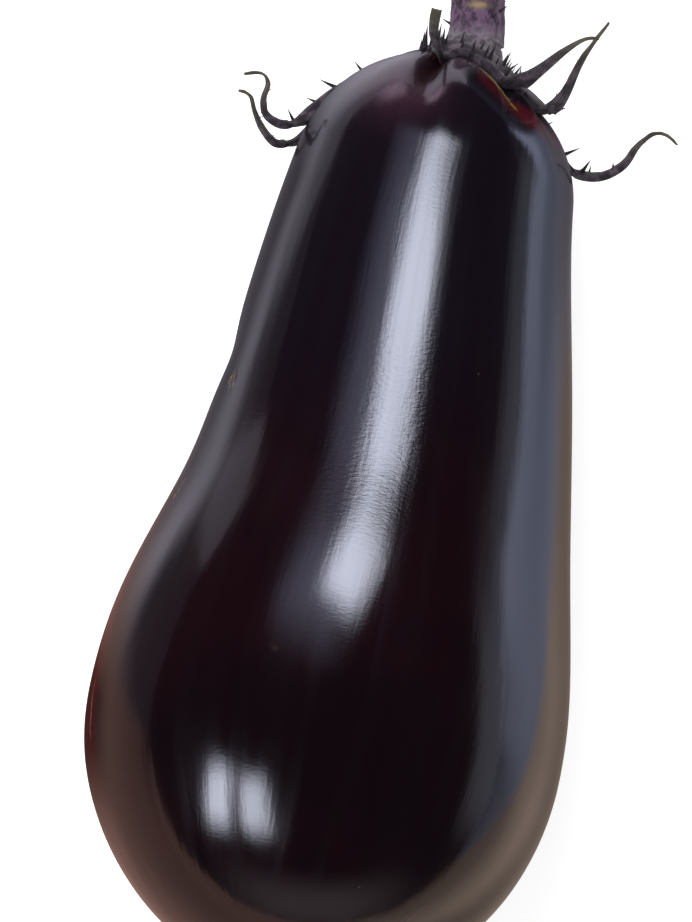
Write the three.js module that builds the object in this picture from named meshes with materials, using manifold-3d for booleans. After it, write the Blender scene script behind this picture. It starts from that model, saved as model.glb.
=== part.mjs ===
// An eggplant as picked: a glossy pear-shaped fruit, its prickly calyx and a length of stem.
// Millimetres, +Z up. It lies along +Y on the small flat spot of its belly, and the middle of that
// spot is the origin. The stem end points along +Y.

import * as THREE from 'three';
import { mergeVertices } from 'three/addons/utils/BufferGeometryUtils.js';
import Module from 'manifold-3d';

const wasm = await Module();
wasm.setup();

// Fruit: control values every CONTROL_STEP along its length, the first one a step before the
// blossom end, for half width, sideways place of the axis and height of the axis.
const FRUIT_LENGTH = 184.5;
const CONTROL_STEP = 30;
const HALF_WIDTHS = [42, 42, 46, 48, 39, 35, 30.5, 26, 24];
const AXIS_ACROSS = [-24.5, -16.5, -9, -3.5, 4.5, 9.5, 13.5, 21, 32.5];
const AXIS_HEIGHTS = [63.5, 56.5, 49.5, 43.2, 37, 34, 31.5, 29, 26.5];
const HEIGHT_TO_WIDTH = 0.97;
const REST_STATION = 73;
const SLAB_DEPTH = 20;
const BLOSSOM_ROUNDING = { reach: 48.5, power: 2.45 };
const SHOULDER_ROUNDING = { reach: 23.5, power: 2.25 };

// Relief of the skin
const FURROW_MIDDLE = 17;
const FURROW_REACH = 12;
const FURROW_SPREAD = 8.5;
const FURROW_LIP = { away: 19, spread: 9 };
const BULGE_SHARE = 0.35;
const BLOSSOM_DIMPLE = { depth: 1.6, reach: 6 };
const NECK_DENT = { station: 119, around: 176, depth: 0.8, reach: 7 };

// Calyx: down is the distance over the skin from the stem's foot, lift the height above the skin
const SKIN_GAP = 0.55;
const RIM_DOWN = 11;
const SINUS_SWING = 2.2;
const WIDE_SINUS_SWING = 5.5;
const EVEN_SECTOR = 45;
const FLARE_LENGTH = 6.5;
const RIM_THICKNESS = 1.4;
const BLADE_THICKNESS = 1.6;
const EDGE_THICKNESS = 0.8;
const TIP_THICKNESS = 0.7;
const TIP_HALF_WIDTH = 0.45;
const BLADE_TAPER = 0.8;
const ROLLED_EDGE = 0.22;
const COLLAR_RINGS = [[4.9, 6.2], [5.7, 5.9], [6.2, 4.6], [6.9, 3.5]];
const CAP_RING = { share: 0.45, lift: 2.8 };
const LINING_RINGS = [0.27, 0.64];

// Lobes by the direction they grow in, in degrees round the stem's foot from +X over the top.
// A path gives down, around and lift of the midline from the rim to the tip. Twist, in degrees,
// turns the free blade over on its midline. Under each lobe the skin has a furrow, which drifts by
// some degrees a millimetre and may have raised lips. One lobe has a blunt tip.
const LOBES = [
  { around: 29, halfWidth: 3.4, twist: 16, furrow: 1.2, lip: 0, drift: 0, prickles: 6, path: [
    [RIM_DOWN, 29, 0], [15, 26, 0], [19.4, 24, 0.2], [21.6, 24, 2.4], [21.2, 27, 7], [19.6, 30, 12.8],
    [18.7, 31, 17.4], [17.7, 29.5, 23.2]] },
  { around: 55, halfWidth: 3.3, twist: 45, furrow: 1.2, lip: 0, drift: 0, prickles: 4, path: [
    [RIM_DOWN, 55, 0], [14, 53, 0], [16.5, 52, 0.4], [19, 51, 3.4], [20.4, 50, 7.4], [20.7, 48, 12.6],
    [21, 45, 16.8], [21.6, 41, 19]] },
  { around: 114, halfWidth: 1.9, tipHalfWidth: 1.5, twist: 0, furrow: 2.4, lip: 1.3, drift: -0.6,
    prickles: 3, path: [[RIM_DOWN, 115, 0], [12.8, 115, 0.4], [15, 114, 2.2], [17.6, 113, 4.8],
    [19.3, 111, 7.8], [20.2, 109, 10.6], [20.6, 108, 13.4]] },
  { around: 184, halfWidth: 2.5, twist: 40, furrow: 1, lip: 0, drift: 0, prickles: 5, path: [
    [RIM_DOWN, 185, 0], [20, 188, 0], [29, 185, 0], [36.4, 176, 0.3], [39.6, 172, 3.6],
    [39.4, 171, 7.6], [37.6, 170, 9.8], [35.4, 169, 10.6], [34.6, 169, 12.4], [35.8, 170, 15.4]] },
  { around: 210, halfWidth: 2.9, twist: 40, furrow: 1, lip: 0, drift: 0, prickles: 5, path: [
    [RIM_DOWN, 210, 0], [21, 207, 0], [30, 201, 0], [37.8, 192, 0.3], [41, 187, 3.8], [39.8, 185, 7.6],
    [37.8, 183, 10.8], [36.4, 181, 13], [36.6, 180, 15.4]] },
  { around: 243, halfWidth: 2.6, twist: 15, furrow: 1.2, lip: 0, drift: 0, prickles: 4, path: [
    [RIM_DOWN, 243, 0], [16, 242, 0], [21, 240, 0], [25, 238, 0.8], [27, 235, 3.6], [26.6, 231, 7],
    [24.4, 228, 10]] },
  { around: 287, halfWidth: 2.6, twist: 0, furrow: 1, lip: 0, drift: 0, prickles: 3, path: [
    [RIM_DOWN, 287, 0], [14, 288, 0], [17, 289, 0.1], [19.4, 290, 0.7], [21.4, 292, 1.8],
    [23, 295, 3], [24, 299, 4.2]] },
  { around: 338, halfWidth: 3.3, twist: -40, furrow: 1.2, lip: 0, drift: 0, prickles: 6, path: [
    [RIM_DOWN, 338, 0], [18, 340, 0], [25.6, 342, 0.1], [30.2, 343, 1.6], [32, 343, 4.6],
    [32.4, 343, 8.8], [31.4, 345, 13.4], [29.4, 348, 16.8], [28.6, 350, 20], [29.2, 352, 22],
    [30.8, 353, 23.6]] },
];

// Prickles, grown from the calyx and the stem
const PRICKLE_SEED = 29;
const PRICKLE_LENGTHS = [2.4, 5];
const PRICKLE_RADIUS = 0.55;
const PRICKLE_ROOT = 0.6;
const PRICKLE_SIDES = 4;
const COLLAR_PRICKLES = 7;
const STEM_PRICKLES = 5;

// Stem: its midline past the collar, measured from the stem's foot, and its radius along it
const STEM_GAP = 0.3;
const STEM_MIDLINE = [[0, 0, 0], [0.6, 7.6, 0], [0.4, 16, 0.6], [0, 28, 2.2]];
const STEM_RADII = [5.6, 5.7, 5.55, 5.4, 5.4, 5.4, 5.45, 5.5, 5.45, 5.0];
const STEM_RIBS = { count: 5, depth: 0.16 };
const CUT_SLANT = 0.12;

// How finely each piece is divided
const FRUIT_ROWS = 60;
const FRUIT_COLUMNS = 72;
const LOBE_COLUMNS = 4;
const FLARE_ROWS = [0, 0.05, 0.2, 0.5];
const ROWS_A_SPAN = 2;
const STEM_SIDES = 16;

const UP = new THREE.Vector3(0, 0, 1);
const radians = THREE.MathUtils.degToRad;
const clamp = THREE.MathUtils.clamp;
const lerp = THREE.MathUtils.lerp;

// Value, or slope, of a uniform cubic B-spline at a station along the fruit
function alongFruit(values, station, slope = false) {
  const place = station / CONTROL_STEP + 1;
  const first = clamp(Math.floor(place), 1, values.length - 3);
  const t = place - first;
  const shares = slope
    ? [-((1 - t) ** 2) / 2, (3 * t * t - 4 * t) / 2, (-3 * t * t + 2 * t + 1) / 2, (t * t) / 2]
    : [(1 - t) ** 3 / 6, (3 * t ** 3 - 6 * t * t + 4) / 6,
      (-3 * t ** 3 + 3 * t * t + 3 * t + 1) / 6, t ** 3 / 6];
  const total = shares.reduce((sum, share, k) => sum + share * values[first - 1 + k], 0);
  return slope ? total / CONTROL_STEP : total;
}

function endRounding(station) {
  const blossom = clamp((BLOSSOM_ROUNDING.reach - station) / BLOSSOM_ROUNDING.reach, 0, 1);
  const fromShoulder = station - (FRUIT_LENGTH - SHOULDER_ROUNDING.reach);
  const shoulder = clamp(fromShoulder / SHOULDER_ROUNDING.reach, 0, 1);
  const blossomShare = Math.sqrt(1 - blossom ** BLOSSOM_ROUNDING.power);
  return blossomShare * Math.sqrt(1 - shoulder ** SHOULDER_ROUNDING.power);
}

function stationAt(turn) {
  return (FRUIT_LENGTH * (1 - Math.cos(turn))) / 2;
}

// Smooth skin: turn goes from 0 at the blossom end to PI at the stem, around is in degrees
function smoothSkin(turn, around) {
  const station = stationAt(turn);
  const radius = alongFruit(HALF_WIDTHS, station) * endRounding(station);
  const axis = new THREE.Vector3(
    alongFruit(AXIS_ACROSS, station, true), 1, alongFruit(AXIS_HEIGHTS, station, true)).normalize();
  const side = new THREE.Vector3().crossVectors(axis, UP).normalize();
  const top = new THREE.Vector3().crossVectors(side, axis);
  return new THREE.Vector3(
    alongFruit(AXIS_ACROSS, station), station - REST_STATION, alongFruit(AXIS_HEIGHTS, station))
    .addScaledVector(side, radius * Math.cos(radians(around)))
    .addScaledVector(top, radius * HEIGHT_TO_WIDTH * Math.sin(radians(around)));
}

function smoothNormal(turn, around) {
  const step = 0.002;
  const inner = clamp(turn, 3 * step, Math.PI - 3 * step);
  const lengthways = smoothSkin(inner + step, around).sub(smoothSkin(inner - step, around));
  const sideways = smoothSkin(inner, around + 0.1).sub(smoothSkin(inner, around - 0.1));
  return lengthways.cross(sideways).normalize();
}

// Distance over the skin from the stem's foot to each turn, as a mean of the meridians
const TURN_STEPS = 600;
const MERIDIANS = 16;
const distances = [0];
for (let k = 1; k <= TURN_STEPS; k += 1) {
  const here = Math.PI * (1 - k / TURN_STEPS);
  const before = Math.PI * (1 - (k - 1) / TURN_STEPS);
  let total = 0;
  for (let m = 0; m < MERIDIANS; m += 1) {
    const around = (360 * m) / MERIDIANS;
    total += smoothSkin(here, around).distanceTo(smoothSkin(before, around));
  }
  distances.push(distances[k - 1] + total / MERIDIANS);
}
const SKIN_LENGTH = distances[TURN_STEPS];

function turnAt(down) {
  let k = 1;
  while (k < TURN_STEPS && distances[k] < down) {
    k += 1;
  }
  const share = (down - distances[k - 1]) / (distances[k] - distances[k - 1]);
  return Math.PI * (1 - (k - 1 + share) / TURN_STEPS);
}

function downAt(turn) {
  const place = (1 - turn / Math.PI) * TURN_STEPS;
  const k = Math.min(Math.floor(place), TURN_STEPS - 1);
  return lerp(distances[k], distances[k + 1], place - k);
}

// Degrees from one direction to another, between -180 and 180
function swing(from, to) {
  return ((((to - from + 180) % 360) + 360) % 360) - 180;
}

function bell(distance) {
  return Math.exp(-distance * distance);
}

// Height of the shoulder furrows, their lips, the bulges between them, the blossom dimple and the
// neck's dent
function relief(down, around) {
  const band = bell((down - FURROW_MIDDLE) / FURROW_REACH) * Math.min(down / RIM_DOWN, 1);
  let height = 0;
  LOBES.forEach((lobe, k) => {
    const next = LOBES[(k + 1) % LOBES.length];
    const gap = (next.around - lobe.around + 360) % 360;
    const middle = lobe.around + lobe.drift * (down - RIM_DOWN);
    const aside = swing(middle, around);
    height -= lobe.furrow * band * bell(aside / FURROW_SPREAD);
    height += lobe.lip * band * bell((Math.abs(aside) - FURROW_LIP.away) / FURROW_LIP.spread);
    const bulge = bell(swing(lobe.around + gap / 2, around) / (gap * BULGE_SHARE));
    height += (gap / EVEN_SECTOR) * BULGE_SHARE * band * bulge;
  });
  height -= BLOSSOM_DIMPLE.depth * bell((SKIN_LENGTH - down) / BLOSSOM_DIMPLE.reach);
  const dentAlong = (stationAt(turnAt(down)) - NECK_DENT.station) / NECK_DENT.reach;
  const dentAcross = swing(NECK_DENT.around, around) / (2 * NECK_DENT.reach);
  height -= NECK_DENT.depth * bell(Math.hypot(dentAlong, dentAcross));
  return height;
}

// A point that stands lift above the finished skin
function overSkin(down, around, lift = 0) {
  const turn = turnAt(down);
  const normal = smoothNormal(turn, around);
  return smoothSkin(turn, around).addScaledVector(normal, relief(down, around) + lift);
}

function millimetresADegree(down, around) {
  return overSkin(down, around + 1).distanceTo(overSkin(down, around - 1)) / 2;
}

const stemFoot = smoothSkin(Math.PI, 0);
const stemWay = new THREE.Vector3(
  alongFruit(AXIS_ACROSS, FRUIT_LENGTH, true), 1, alongFruit(AXIS_HEIGHTS, FRUIT_LENGTH, true)).normalize();
const stemSide = new THREE.Vector3().crossVectors(stemWay, UP).normalize();
const stemTop = new THREE.Vector3().crossVectors(stemSide, stemWay);

// A point beside the stem's axis, at a height over the foot
function besideStem(height, radius, around) {
  return stemFoot.clone()
    .addScaledVector(stemWay, height)
    .addScaledVector(stemSide, radius * Math.cos(radians(around)))
    .addScaledVector(stemTop, radius * Math.sin(radians(around)));
}

// Points and triangles of one closed body
class Body {
  constructor() {
    this.points = [];
    this.faces = [];
  }

  point(place) {
    return this.points.push(place.x, place.y, place.z) / 3 - 1;
  }

  triangle(a, b, c) {
    if (a !== b && b !== c && c !== a) {
      this.faces.push(a, b, c);
    }
  }

  quad(a, b, c, d) {
    this.triangle(a, b, c);
    this.triangle(a, c, d);
  }

  // Faces between two rings of the same length
  band(ring, next) {
    ring.forEach((corner, k) => {
      const after = (k + 1) % ring.length;
      this.quad(corner, ring[after], next[after], next[k]);
    });
  }

  fan(ring, centre) {
    ring.forEach((corner, k) => this.triangle(corner, ring[(k + 1) % ring.length], centre));
  }

  geometry() {
    const geometry = new THREE.BufferGeometry();
    geometry.setAttribute('position', new THREE.Float32BufferAttribute(this.points, 3));
    geometry.setIndex(this.faces);
    return geometry;
  }
}

function toSolid(geometry) {
  const bare = geometry.clone();
  bare.deleteAttribute('normal');
  bare.deleteAttribute('uv');
  const merged = mergeVertices(bare);
  return new wasm.Manifold(new wasm.Mesh({
    numProp: 3,
    vertProperties: new Float32Array(merged.attributes.position.array),
    triVerts: new Uint32Array(merged.index.array),
  }));
}

function toGeometry(solid) {
  const mesh = solid.getMesh();
  const geometry = new THREE.BufferGeometry();
  geometry.setAttribute('position', new THREE.BufferAttribute(new Float32Array(mesh.vertProperties), 3));
  geometry.setIndex(new THREE.BufferAttribute(new Uint32Array(mesh.triVerts), 1));
  return geometry;
}

// Repeatable draw between 0 and 1
function drawFrom(seed) {
  let state = seed;
  return () => {
    state = (state * 1103515245 + 12345) % 2147483648;
    return state / 2147483648;
  };
}

function fruitGeometry() {
  const body = new Body();
  const rings = [];
  for (let row = 1; row < FRUIT_ROWS; row += 1) {
    const down = downAt((Math.PI * row) / FRUIT_ROWS);
    const ring = [];
    for (let column = 0; column < FRUIT_COLUMNS; column += 1) {
      ring.push(body.point(overSkin(down, (360 * column) / FRUIT_COLUMNS)));
    }
    rings.push(ring);
  }
  rings.slice(1).forEach((ring, k) => body.band(ring, rings[k]));
  body.fan(rings[0], body.point(overSkin(SKIN_LENGTH, 0)));
  body.fan(rings[rings.length - 1].reverse(), body.point(stemFoot));

  // The belly is flat where it rests
  const slab = new THREE.BoxGeometry(FRUIT_LENGTH, 2 * FRUIT_LENGTH, SLAB_DEPTH);
  slab.translate(0, 0, -SLAB_DEPTH / 2);
  return toGeometry(toSolid(body.geometry()).subtract(toSolid(slab)));
}

// Half of a lobe's sector, in degrees, towards its neighbour on one side
function halfSector(index, side) {
  const neighbour = LOBES[(index + side + LOBES.length) % LOBES.length];
  return Math.abs(swing(LOBES[index].around, neighbour.around)) / 2;
}

// How far below the rim a sinus lies: wide ones bite further up
function sinusShift(index, side) {
  const gap = 2 * halfSector(index, side);
  const most = gap > EVEN_SECTOR ? WIDE_SINUS_SWING : SINUS_SWING;
  return (most * (EVEN_SECTOR - gap)) / EVEN_SECTOR;
}

// Where a lobe's midline is at a share of its length: x down, y around, z lift
function lobeCurve(lobe) {
  const points = lobe.path.map(([down, around, lift]) => new THREE.Vector3(down, around, lift + SKIN_GAP));
  return new THREE.CatmullRomCurve3(points, false, 'catmullrom', 0.5);
}

// A frame on the lobe's midline: its point, the way across it and the way out of its upper face
function lobeFrame(curve, share, twist) {
  const locate = (at) => {
    const place = curve.getPoint(clamp(at, 0, 1));
    return overSkin(place.x, place.y, Math.max(place.z, SKIN_GAP));
  };
  const place = curve.getPoint(share);
  const centre = locate(share);
  const along = locate(share + 0.02).sub(locate(share - 0.02)).normalize();
  const across = overSkin(place.x, place.y + 1, place.z).sub(overSkin(place.x, place.y - 1, place.z));
  across.addScaledVector(along, -across.dot(along)).normalize();
  const free = THREE.MathUtils.smoothstep(place.z - SKIN_GAP, 0.1, 3);
  across.applyAxisAngle(along, radians(-twist * free));
  const out = new THREE.Vector3().crossVectors(across, along);
  return { place, centre, across, out, free };
}

function flareAt(travelled) {
  const share = clamp(travelled / FLARE_LENGTH, 0, 1);
  return 1 - Math.sqrt(share * (2 - share));
}

// One row of a lobe: points of its inner and outer face from one edge to the other
function lobeRow(index, curve, share) {
  const lobe = LOBES[index];
  const { place, centre, across, out, free } = lobeFrame(curve, share, lobe.twist);
  const lift = Math.max(place.z, SKIN_GAP);
  const flare = flareAt(Math.max(place.x - RIM_DOWN, lift > 1 ? FLARE_LENGTH : 0));
  const thinning = THREE.MathUtils.smoothstep(share, 0.4, 1);
  const middle = lerp(lerp(BLADE_THICKNESS, RIM_THICKNESS, flare), TIP_THICKNESS, thinning);
  const edge = lerp(lerp(EDGE_THICKNESS, RIM_THICKNESS, flare), TIP_THICKNESS, thinning);
  const tipHalf = lobe.tipHalfWidth ?? TIP_HALF_WIDTH;
  const bladeHalf = lerp(tipHalf, lobe.halfWidth, (1 - share) ** BLADE_TAPER);
  const perDegree = millimetresADegree(place.x, place.y);
  const row = { inner: [], outer: [] };
  for (let column = 0; column <= LOBE_COLUMNS; column += 1) {
    const u = (2 * column) / LOBE_COLUMNS - 1;
    const side = u < 0 ? -1 : 1;
    const sectorHalf = halfSector(index, side) * perDegree;
    const reach = u * lerp(bladeHalf, sectorHalf, flare);
    const shift = sinusShift(index, side) * Math.abs(u) * flare;
    const around = place.y + reach / perDegree;
    const thickness = lerp(middle, edge, u * u);
    const rolled = ROLLED_EDGE * Math.abs(reach) * u * u * free;
    const flat = centre.clone().addScaledVector(across, reach).addScaledVector(out, rolled);
    const hugging = overSkin(place.x + shift, around, lift);
    row.inner.push(hugging.clone().lerp(flat, free));
    const upper = overSkin(place.x + shift, around, lift + thickness);
    row.outer.push(upper.lerp(flat.clone().addScaledVector(out, thickness), free));
  }
  return row;
}

// Shares of a lobe's length at which it has a row: close together where it flares to the rim
function lobeShares(lobe) {
  const spans = lobe.path.length - 1;
  const firstSpan = (lobe.path[1][0] - RIM_DOWN) * spans;
  const shares = FLARE_ROWS.map((part) => (part * FLARE_LENGTH) / firstSpan);
  const rows = spans * ROWS_A_SPAN;
  for (let k = 1; k <= rows; k += 1) {
    if (k / rows > shares[shares.length - 1] + 0.4 / rows) {
      shares.push(k / rows);
    }
  }
  return shares;
}

// The cap's rings meet each lobe's first row, and neighbouring lobes share the point of a sinus
function capRing(place) {
  const ring = [];
  LOBES.forEach((lobe, index) => {
    for (let column = 0; column < LOBE_COLUMNS; column += 1) {
      const u = (2 * column) / LOBE_COLUMNS - 1;
      const side = u < 0 ? -1 : 1;
      const around = lobe.path[0][1] + u * halfSector(index, side);
      ring.push(place(around, sinusShift(index, side) * Math.abs(u)));
    }
  });
  return ring;
}

function calyxBlank() {
  const body = new Body();
  const rimRow = LOBES.map((lobe, index) => lobeRow(index, lobeCurve(lobe), 0));
  const rim = (face) => rimRow.flatMap((row) => row[face].slice(0, -1)).map((place) => body.point(place));
  const outerRim = rim('outer');
  const innerRim = rim('inner');

  const outerRings = COLLAR_RINGS.map(([radius, height]) =>
    capRing((around) => body.point(besideStem(height, radius, around))));
  const collarEdge = COLLAR_RINGS[COLLAR_RINGS.length - 1][0];
  outerRings.push(capRing((around, shift) =>
    body.point(overSkin(lerp(collarEdge, RIM_DOWN + shift, CAP_RING.share), around, CAP_RING.lift))));
  outerRings.push(outerRim);
  const innerRings = LINING_RINGS.map((share) =>
    capRing((around, shift) => body.point(overSkin(share * (RIM_DOWN + shift), around, SKIN_GAP))));
  innerRings.push(innerRim);
  outerRings.slice(1).forEach((ring, k) => body.band(outerRings[k], ring));
  innerRings.slice(1).forEach((ring, k) => body.band(ring, innerRings[k]));
  body.fan([...outerRings[0]].reverse(), body.point(besideStem(COLLAR_RINGS[0][1], 0, 0)));
  body.fan(innerRings[0], body.point(besideStem(SKIN_GAP, 0, 0)));

  LOBES.forEach((lobe, index) => {
    const corners = (rimPoints) => Array.from({ length: LOBE_COLUMNS + 1 }, (_, column) =>
      rimPoints[(index * LOBE_COLUMNS + column) % rimPoints.length]);
    let outer = corners(outerRim);
    let inner = corners(innerRim);
    lobeShares(lobe).slice(1).forEach((share) => {
      const row = lobeRow(index, lobeCurve(lobe), share);
      const nextOuter = row.outer.map((place) => body.point(place));
      const nextInner = row.inner.map((place) => body.point(place));
      for (let column = 0; column < LOBE_COLUMNS; column += 1) {
        body.quad(outer[column], outer[column + 1], nextOuter[column + 1], nextOuter[column]);
        body.quad(nextInner[column], nextInner[column + 1], inner[column + 1], inner[column]);
      }
      body.quad(inner[0], outer[0], nextOuter[0], nextInner[0]);
      body.quad(outer[LOBE_COLUMNS], inner[LOBE_COLUMNS], nextInner[LOBE_COLUMNS], nextOuter[LOBE_COLUMNS]);
      outer = nextOuter;
      inner = nextInner;
    });
    for (let column = 0; column < LOBE_COLUMNS; column += 1) {
      body.quad(inner[column], outer[column], outer[column + 1], inner[column + 1]);
    }
  });
  return body.geometry();
}

// A thin cone whose root lies under the surface it grows from
function prickleSolid(root, way, length) {
  const cone = new THREE.ConeGeometry(PRICKLE_RADIUS, length + PRICKLE_ROOT, PRICKLE_SIDES);
  cone.translate(0, (length + PRICKLE_ROOT) / 2 - PRICKLE_ROOT, 0);
  const turn = new THREE.Quaternion().setFromUnitVectors(new THREE.Vector3(0, 1, 0), way.clone().normalize());
  cone.applyQuaternion(turn);
  cone.translate(root.x, root.y, root.z);
  return toSolid(cone);
}

function calyxGeometry() {
  const draw = drawFrom(PRICKLE_SEED);
  let solid = toSolid(calyxBlank());
  LOBES.forEach((lobe) => {
    const curve = lobeCurve(lobe);
    for (let k = 0; k < lobe.prickles; k += 1) {
      const share = lerp(0.06, 0.72, (k + 0.5 * draw()) / lobe.prickles);
      const { centre, across, out } = lobeFrame(curve, share, lobe.twist);
      const sideways = (k % 2 ? 1 : -1) * lerp(0.2, 0.9, draw());
      const root = centre.clone().addScaledVector(across, 0.45 * sideways * lobe.halfWidth * (1 - share));
      root.addScaledVector(out, lerp(BLADE_THICKNESS, TIP_THICKNESS, share) - 0.1);
      const way = out.clone().addScaledVector(across, 0.7 * sideways);
      const length = lerp(...PRICKLE_LENGTHS, draw()) * lerp(1, 0.6, share);
      solid = solid.add(prickleSolid(root, way, length));
    }
  });
  for (let k = 0; k < COLLAR_PRICKLES; k += 1) {
    const around = (360 * (k + 0.6 * draw())) / COLLAR_PRICKLES;
    const down = lerp(7.4, 8.6, draw());
    const root = overSkin(down, around, 2);
    const way = overSkin(down, around, 3).sub(overSkin(down, around, 2)).addScaledVector(stemWay, draw());
    solid = solid.add(prickleSolid(root, way, lerp(...PRICKLE_LENGTHS, draw())));
  }
  return toGeometry(solid);
}

function stemGeometry() {
  const draw = drawFrom(PRICKLE_SEED + 1);
  const start = COLLAR_RINGS[0][1] + STEM_GAP;
  const middle = new THREE.CatmullRomCurve3(STEM_MIDLINE.map(([x, y, z]) =>
    stemFoot.clone().addScaledVector(stemWay, start).add(new THREE.Vector3(x, y, z))));
  const rows = STEM_RADII.length - 1;
  const body = new Body();
  const rings = STEM_RADII.map((radius, row) => {
    const share = row / rows;
    const centre = middle.getPoint(share);
    const way = share === 0 ? stemWay.clone() : middle.getTangent(share);
    const side = new THREE.Vector3().crossVectors(way, UP).normalize();
    const top = new THREE.Vector3().crossVectors(side, way);
    return Array.from({ length: STEM_SIDES }, (_, k) => {
      const angle = (2 * Math.PI * k) / STEM_SIDES;
      const ribbed = radius + STEM_RIBS.depth * Math.cos(STEM_RIBS.count * angle + 2 * share);
      const point = centre.clone()
        .addScaledVector(side, ribbed * Math.cos(angle))
        .addScaledVector(top, ribbed * Math.sin(angle))
        .addScaledVector(way, CUT_SLANT * ribbed * Math.cos(angle) * share ** 4);
      return body.point(point);
    });
  });
  rings.slice(1).forEach((ring, k) => body.band(ring, rings[k]));
  body.fan(rings[0], body.point(middle.getPoint(0)));
  body.fan([...rings[rows]].reverse(), body.point(middle.getPoint(1)));

  let solid = toSolid(body.geometry());
  for (let k = 0; k < STEM_PRICKLES; k += 1) {
    const share = lerp(0.12, 0.8, (k + draw()) / STEM_PRICKLES);
    const around = 2 * Math.PI * draw();
    const way = middle.getTangent(share);
    const side = new THREE.Vector3().crossVectors(way, UP).normalize();
    const top = new THREE.Vector3().crossVectors(side, way);
    const outward = side.multiplyScalar(Math.cos(around)).addScaledVector(top, Math.sin(around));
    const root = middle.getPoint(share).addScaledVector(outward, STEM_RADII[4] - 0.1);
    solid = solid.add(prickleSolid(root, outward.addScaledVector(way, 0.5), lerp(1.6, 2.6, draw())));
  }
  return toGeometry(solid);
}

function piece(name, geometry, material) {
  geometry.computeVertexNormals();
  const mesh = new THREE.Mesh(geometry, new THREE.MeshStandardMaterial(material));
  mesh.name = name;
  return mesh;
}

const eggplant = new THREE.Group();
eggplant.add(piece('fruit', fruitGeometry(), { color: 0x180c14, roughness: 0.18, metalness: 0 }));
eggplant.add(piece('calyx', calyxGeometry(), { color: 0x4a3f46, roughness: 0.75, metalness: 0 }));
eggplant.add(piece('stem', stemGeometry(), { color: 0x6e5573, roughness: 0.7, metalness: 0 }));

export default eggplant;
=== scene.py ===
"""An eggplant lying on its side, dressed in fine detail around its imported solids.

Sizes are in millimetres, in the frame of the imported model: +Y towards the stem, +Z up, and the
origin in the middle of the flat spot that the fruit lies on. Meshes are made in metres.
"""

import logging
import math
from dataclasses import dataclass, field
from enum import Enum

import bmesh
import bpy
import numpy as np
from mathutils import Matrix, Vector


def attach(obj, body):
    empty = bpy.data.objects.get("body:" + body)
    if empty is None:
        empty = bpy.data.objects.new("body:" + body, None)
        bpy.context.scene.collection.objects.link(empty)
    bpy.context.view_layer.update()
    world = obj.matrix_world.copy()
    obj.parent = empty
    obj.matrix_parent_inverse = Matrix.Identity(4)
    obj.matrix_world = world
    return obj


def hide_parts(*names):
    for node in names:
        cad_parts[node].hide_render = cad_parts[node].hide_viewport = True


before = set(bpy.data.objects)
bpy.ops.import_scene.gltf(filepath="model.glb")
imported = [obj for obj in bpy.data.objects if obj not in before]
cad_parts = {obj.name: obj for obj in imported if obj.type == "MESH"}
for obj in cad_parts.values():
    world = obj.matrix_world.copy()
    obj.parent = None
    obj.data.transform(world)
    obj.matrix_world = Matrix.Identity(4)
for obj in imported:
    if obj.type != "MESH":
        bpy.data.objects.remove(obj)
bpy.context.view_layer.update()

MM = 0.001
UP = np.array([0.0, 0.0, 1.0])
BODY = "root"

log = logging.getLogger("eggplant")


class Node(Enum):
    """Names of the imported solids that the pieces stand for."""

    FRUIT = "fruit"
    CALYX = "calyx"
    STEM = "stem"


class Slot(Enum):
    """Names of the record's material slots."""

    SKIN = "skin"
    CALYX = "calyx"
    STEM = "stem"


class Mask(Enum):
    """Values kept on a mesh's points for its finish to read."""

    GRAIN = "grain"
    BLUSH = "blush"
    RIM_LINE = "rim_line"
    RED_SIDE = "red_side"
    PINK = "pink"
    SCAR = "scar"
    WRINKLE = "wrinkle"
    # Painted shade in the notch under the front lobe.
    SHADED_CREASE = "crease"
    ALONG = "along"
    # Lobe midline: partly a paler midrib, partly a painted highlight along its crest.
    RIB_AND_HIGHLIGHT = "rib"
    PRICKLE = "prickle"
    FELT = "felt"
    CUT = "cut"


def bell(distance: np.ndarray) -> np.ndarray:
    """Return a smooth hump that is 1 at distance 0 and nearly 0 from distance 2."""
    return np.exp(-np.square(distance))


def smoothstep(value: np.ndarray, low: float, high: float) -> np.ndarray:
    """Return 0 below low, 1 above high and a smooth rise between."""
    share = np.clip((value - low) / (high - low), 0, 1)
    return share * share * (3 - 2 * share)


def lerp(start: np.ndarray, end: np.ndarray, share: np.ndarray) -> np.ndarray:
    """Return the value at a share of the way from start to end."""
    return start + (end - start) * share


def swing(start: np.ndarray, end: np.ndarray) -> np.ndarray:
    """Return the degrees from one direction to another, between -180 and 180."""
    return (end - start + 180) % 360 - 180


def unit(vectors: np.ndarray) -> np.ndarray:
    """Return vectors of length 1 that point the same way."""
    return vectors / np.maximum(np.linalg.norm(vectors, axis=-1, keepdims=True), 1e-12)


def turned(vectors: np.ndarray, axes: np.ndarray, degrees: np.ndarray) -> np.ndarray:
    """Turn vectors about axes.

    Args:
        vectors: Vectors at right angles to their axes.
        axes: Unit vectors to turn about.
        degrees: Angles, with a last dimension of 1.

    Returns:
        The turned vectors.
    """
    angle = np.radians(degrees)
    return vectors * np.cos(angle) + np.cross(axes, vectors) * np.sin(angle)


def smooth_curve(points: np.ndarray, shares: np.ndarray) -> np.ndarray:
    """Find places on a smooth curve through points.

    Args:
        points: The points that the curve runs through, one a row.
        shares: Shares of the curve's length, counted in equal spans.

    Returns:
        One place a share.
    """
    ends = np.concatenate([[2 * points[0] - points[1]], points, [2 * points[-1] - points[-2]]])
    place = np.clip(shares, 0, 1) * (len(points) - 1)
    first = np.minimum(np.floor(place).astype(int), len(points) - 2)
    t = (place - first)[:, None]
    before, start, end, after = (ends[first + k] for k in range(4))
    leave = (end - before) / 2
    reach = (after - start) / 2
    cubic = 2 * start - 2 * end + leave + reach
    square = -3 * start + 3 * end - 2 * leave - reach
    return start + leave * t + square * t**2 + cubic * t**3


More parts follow.
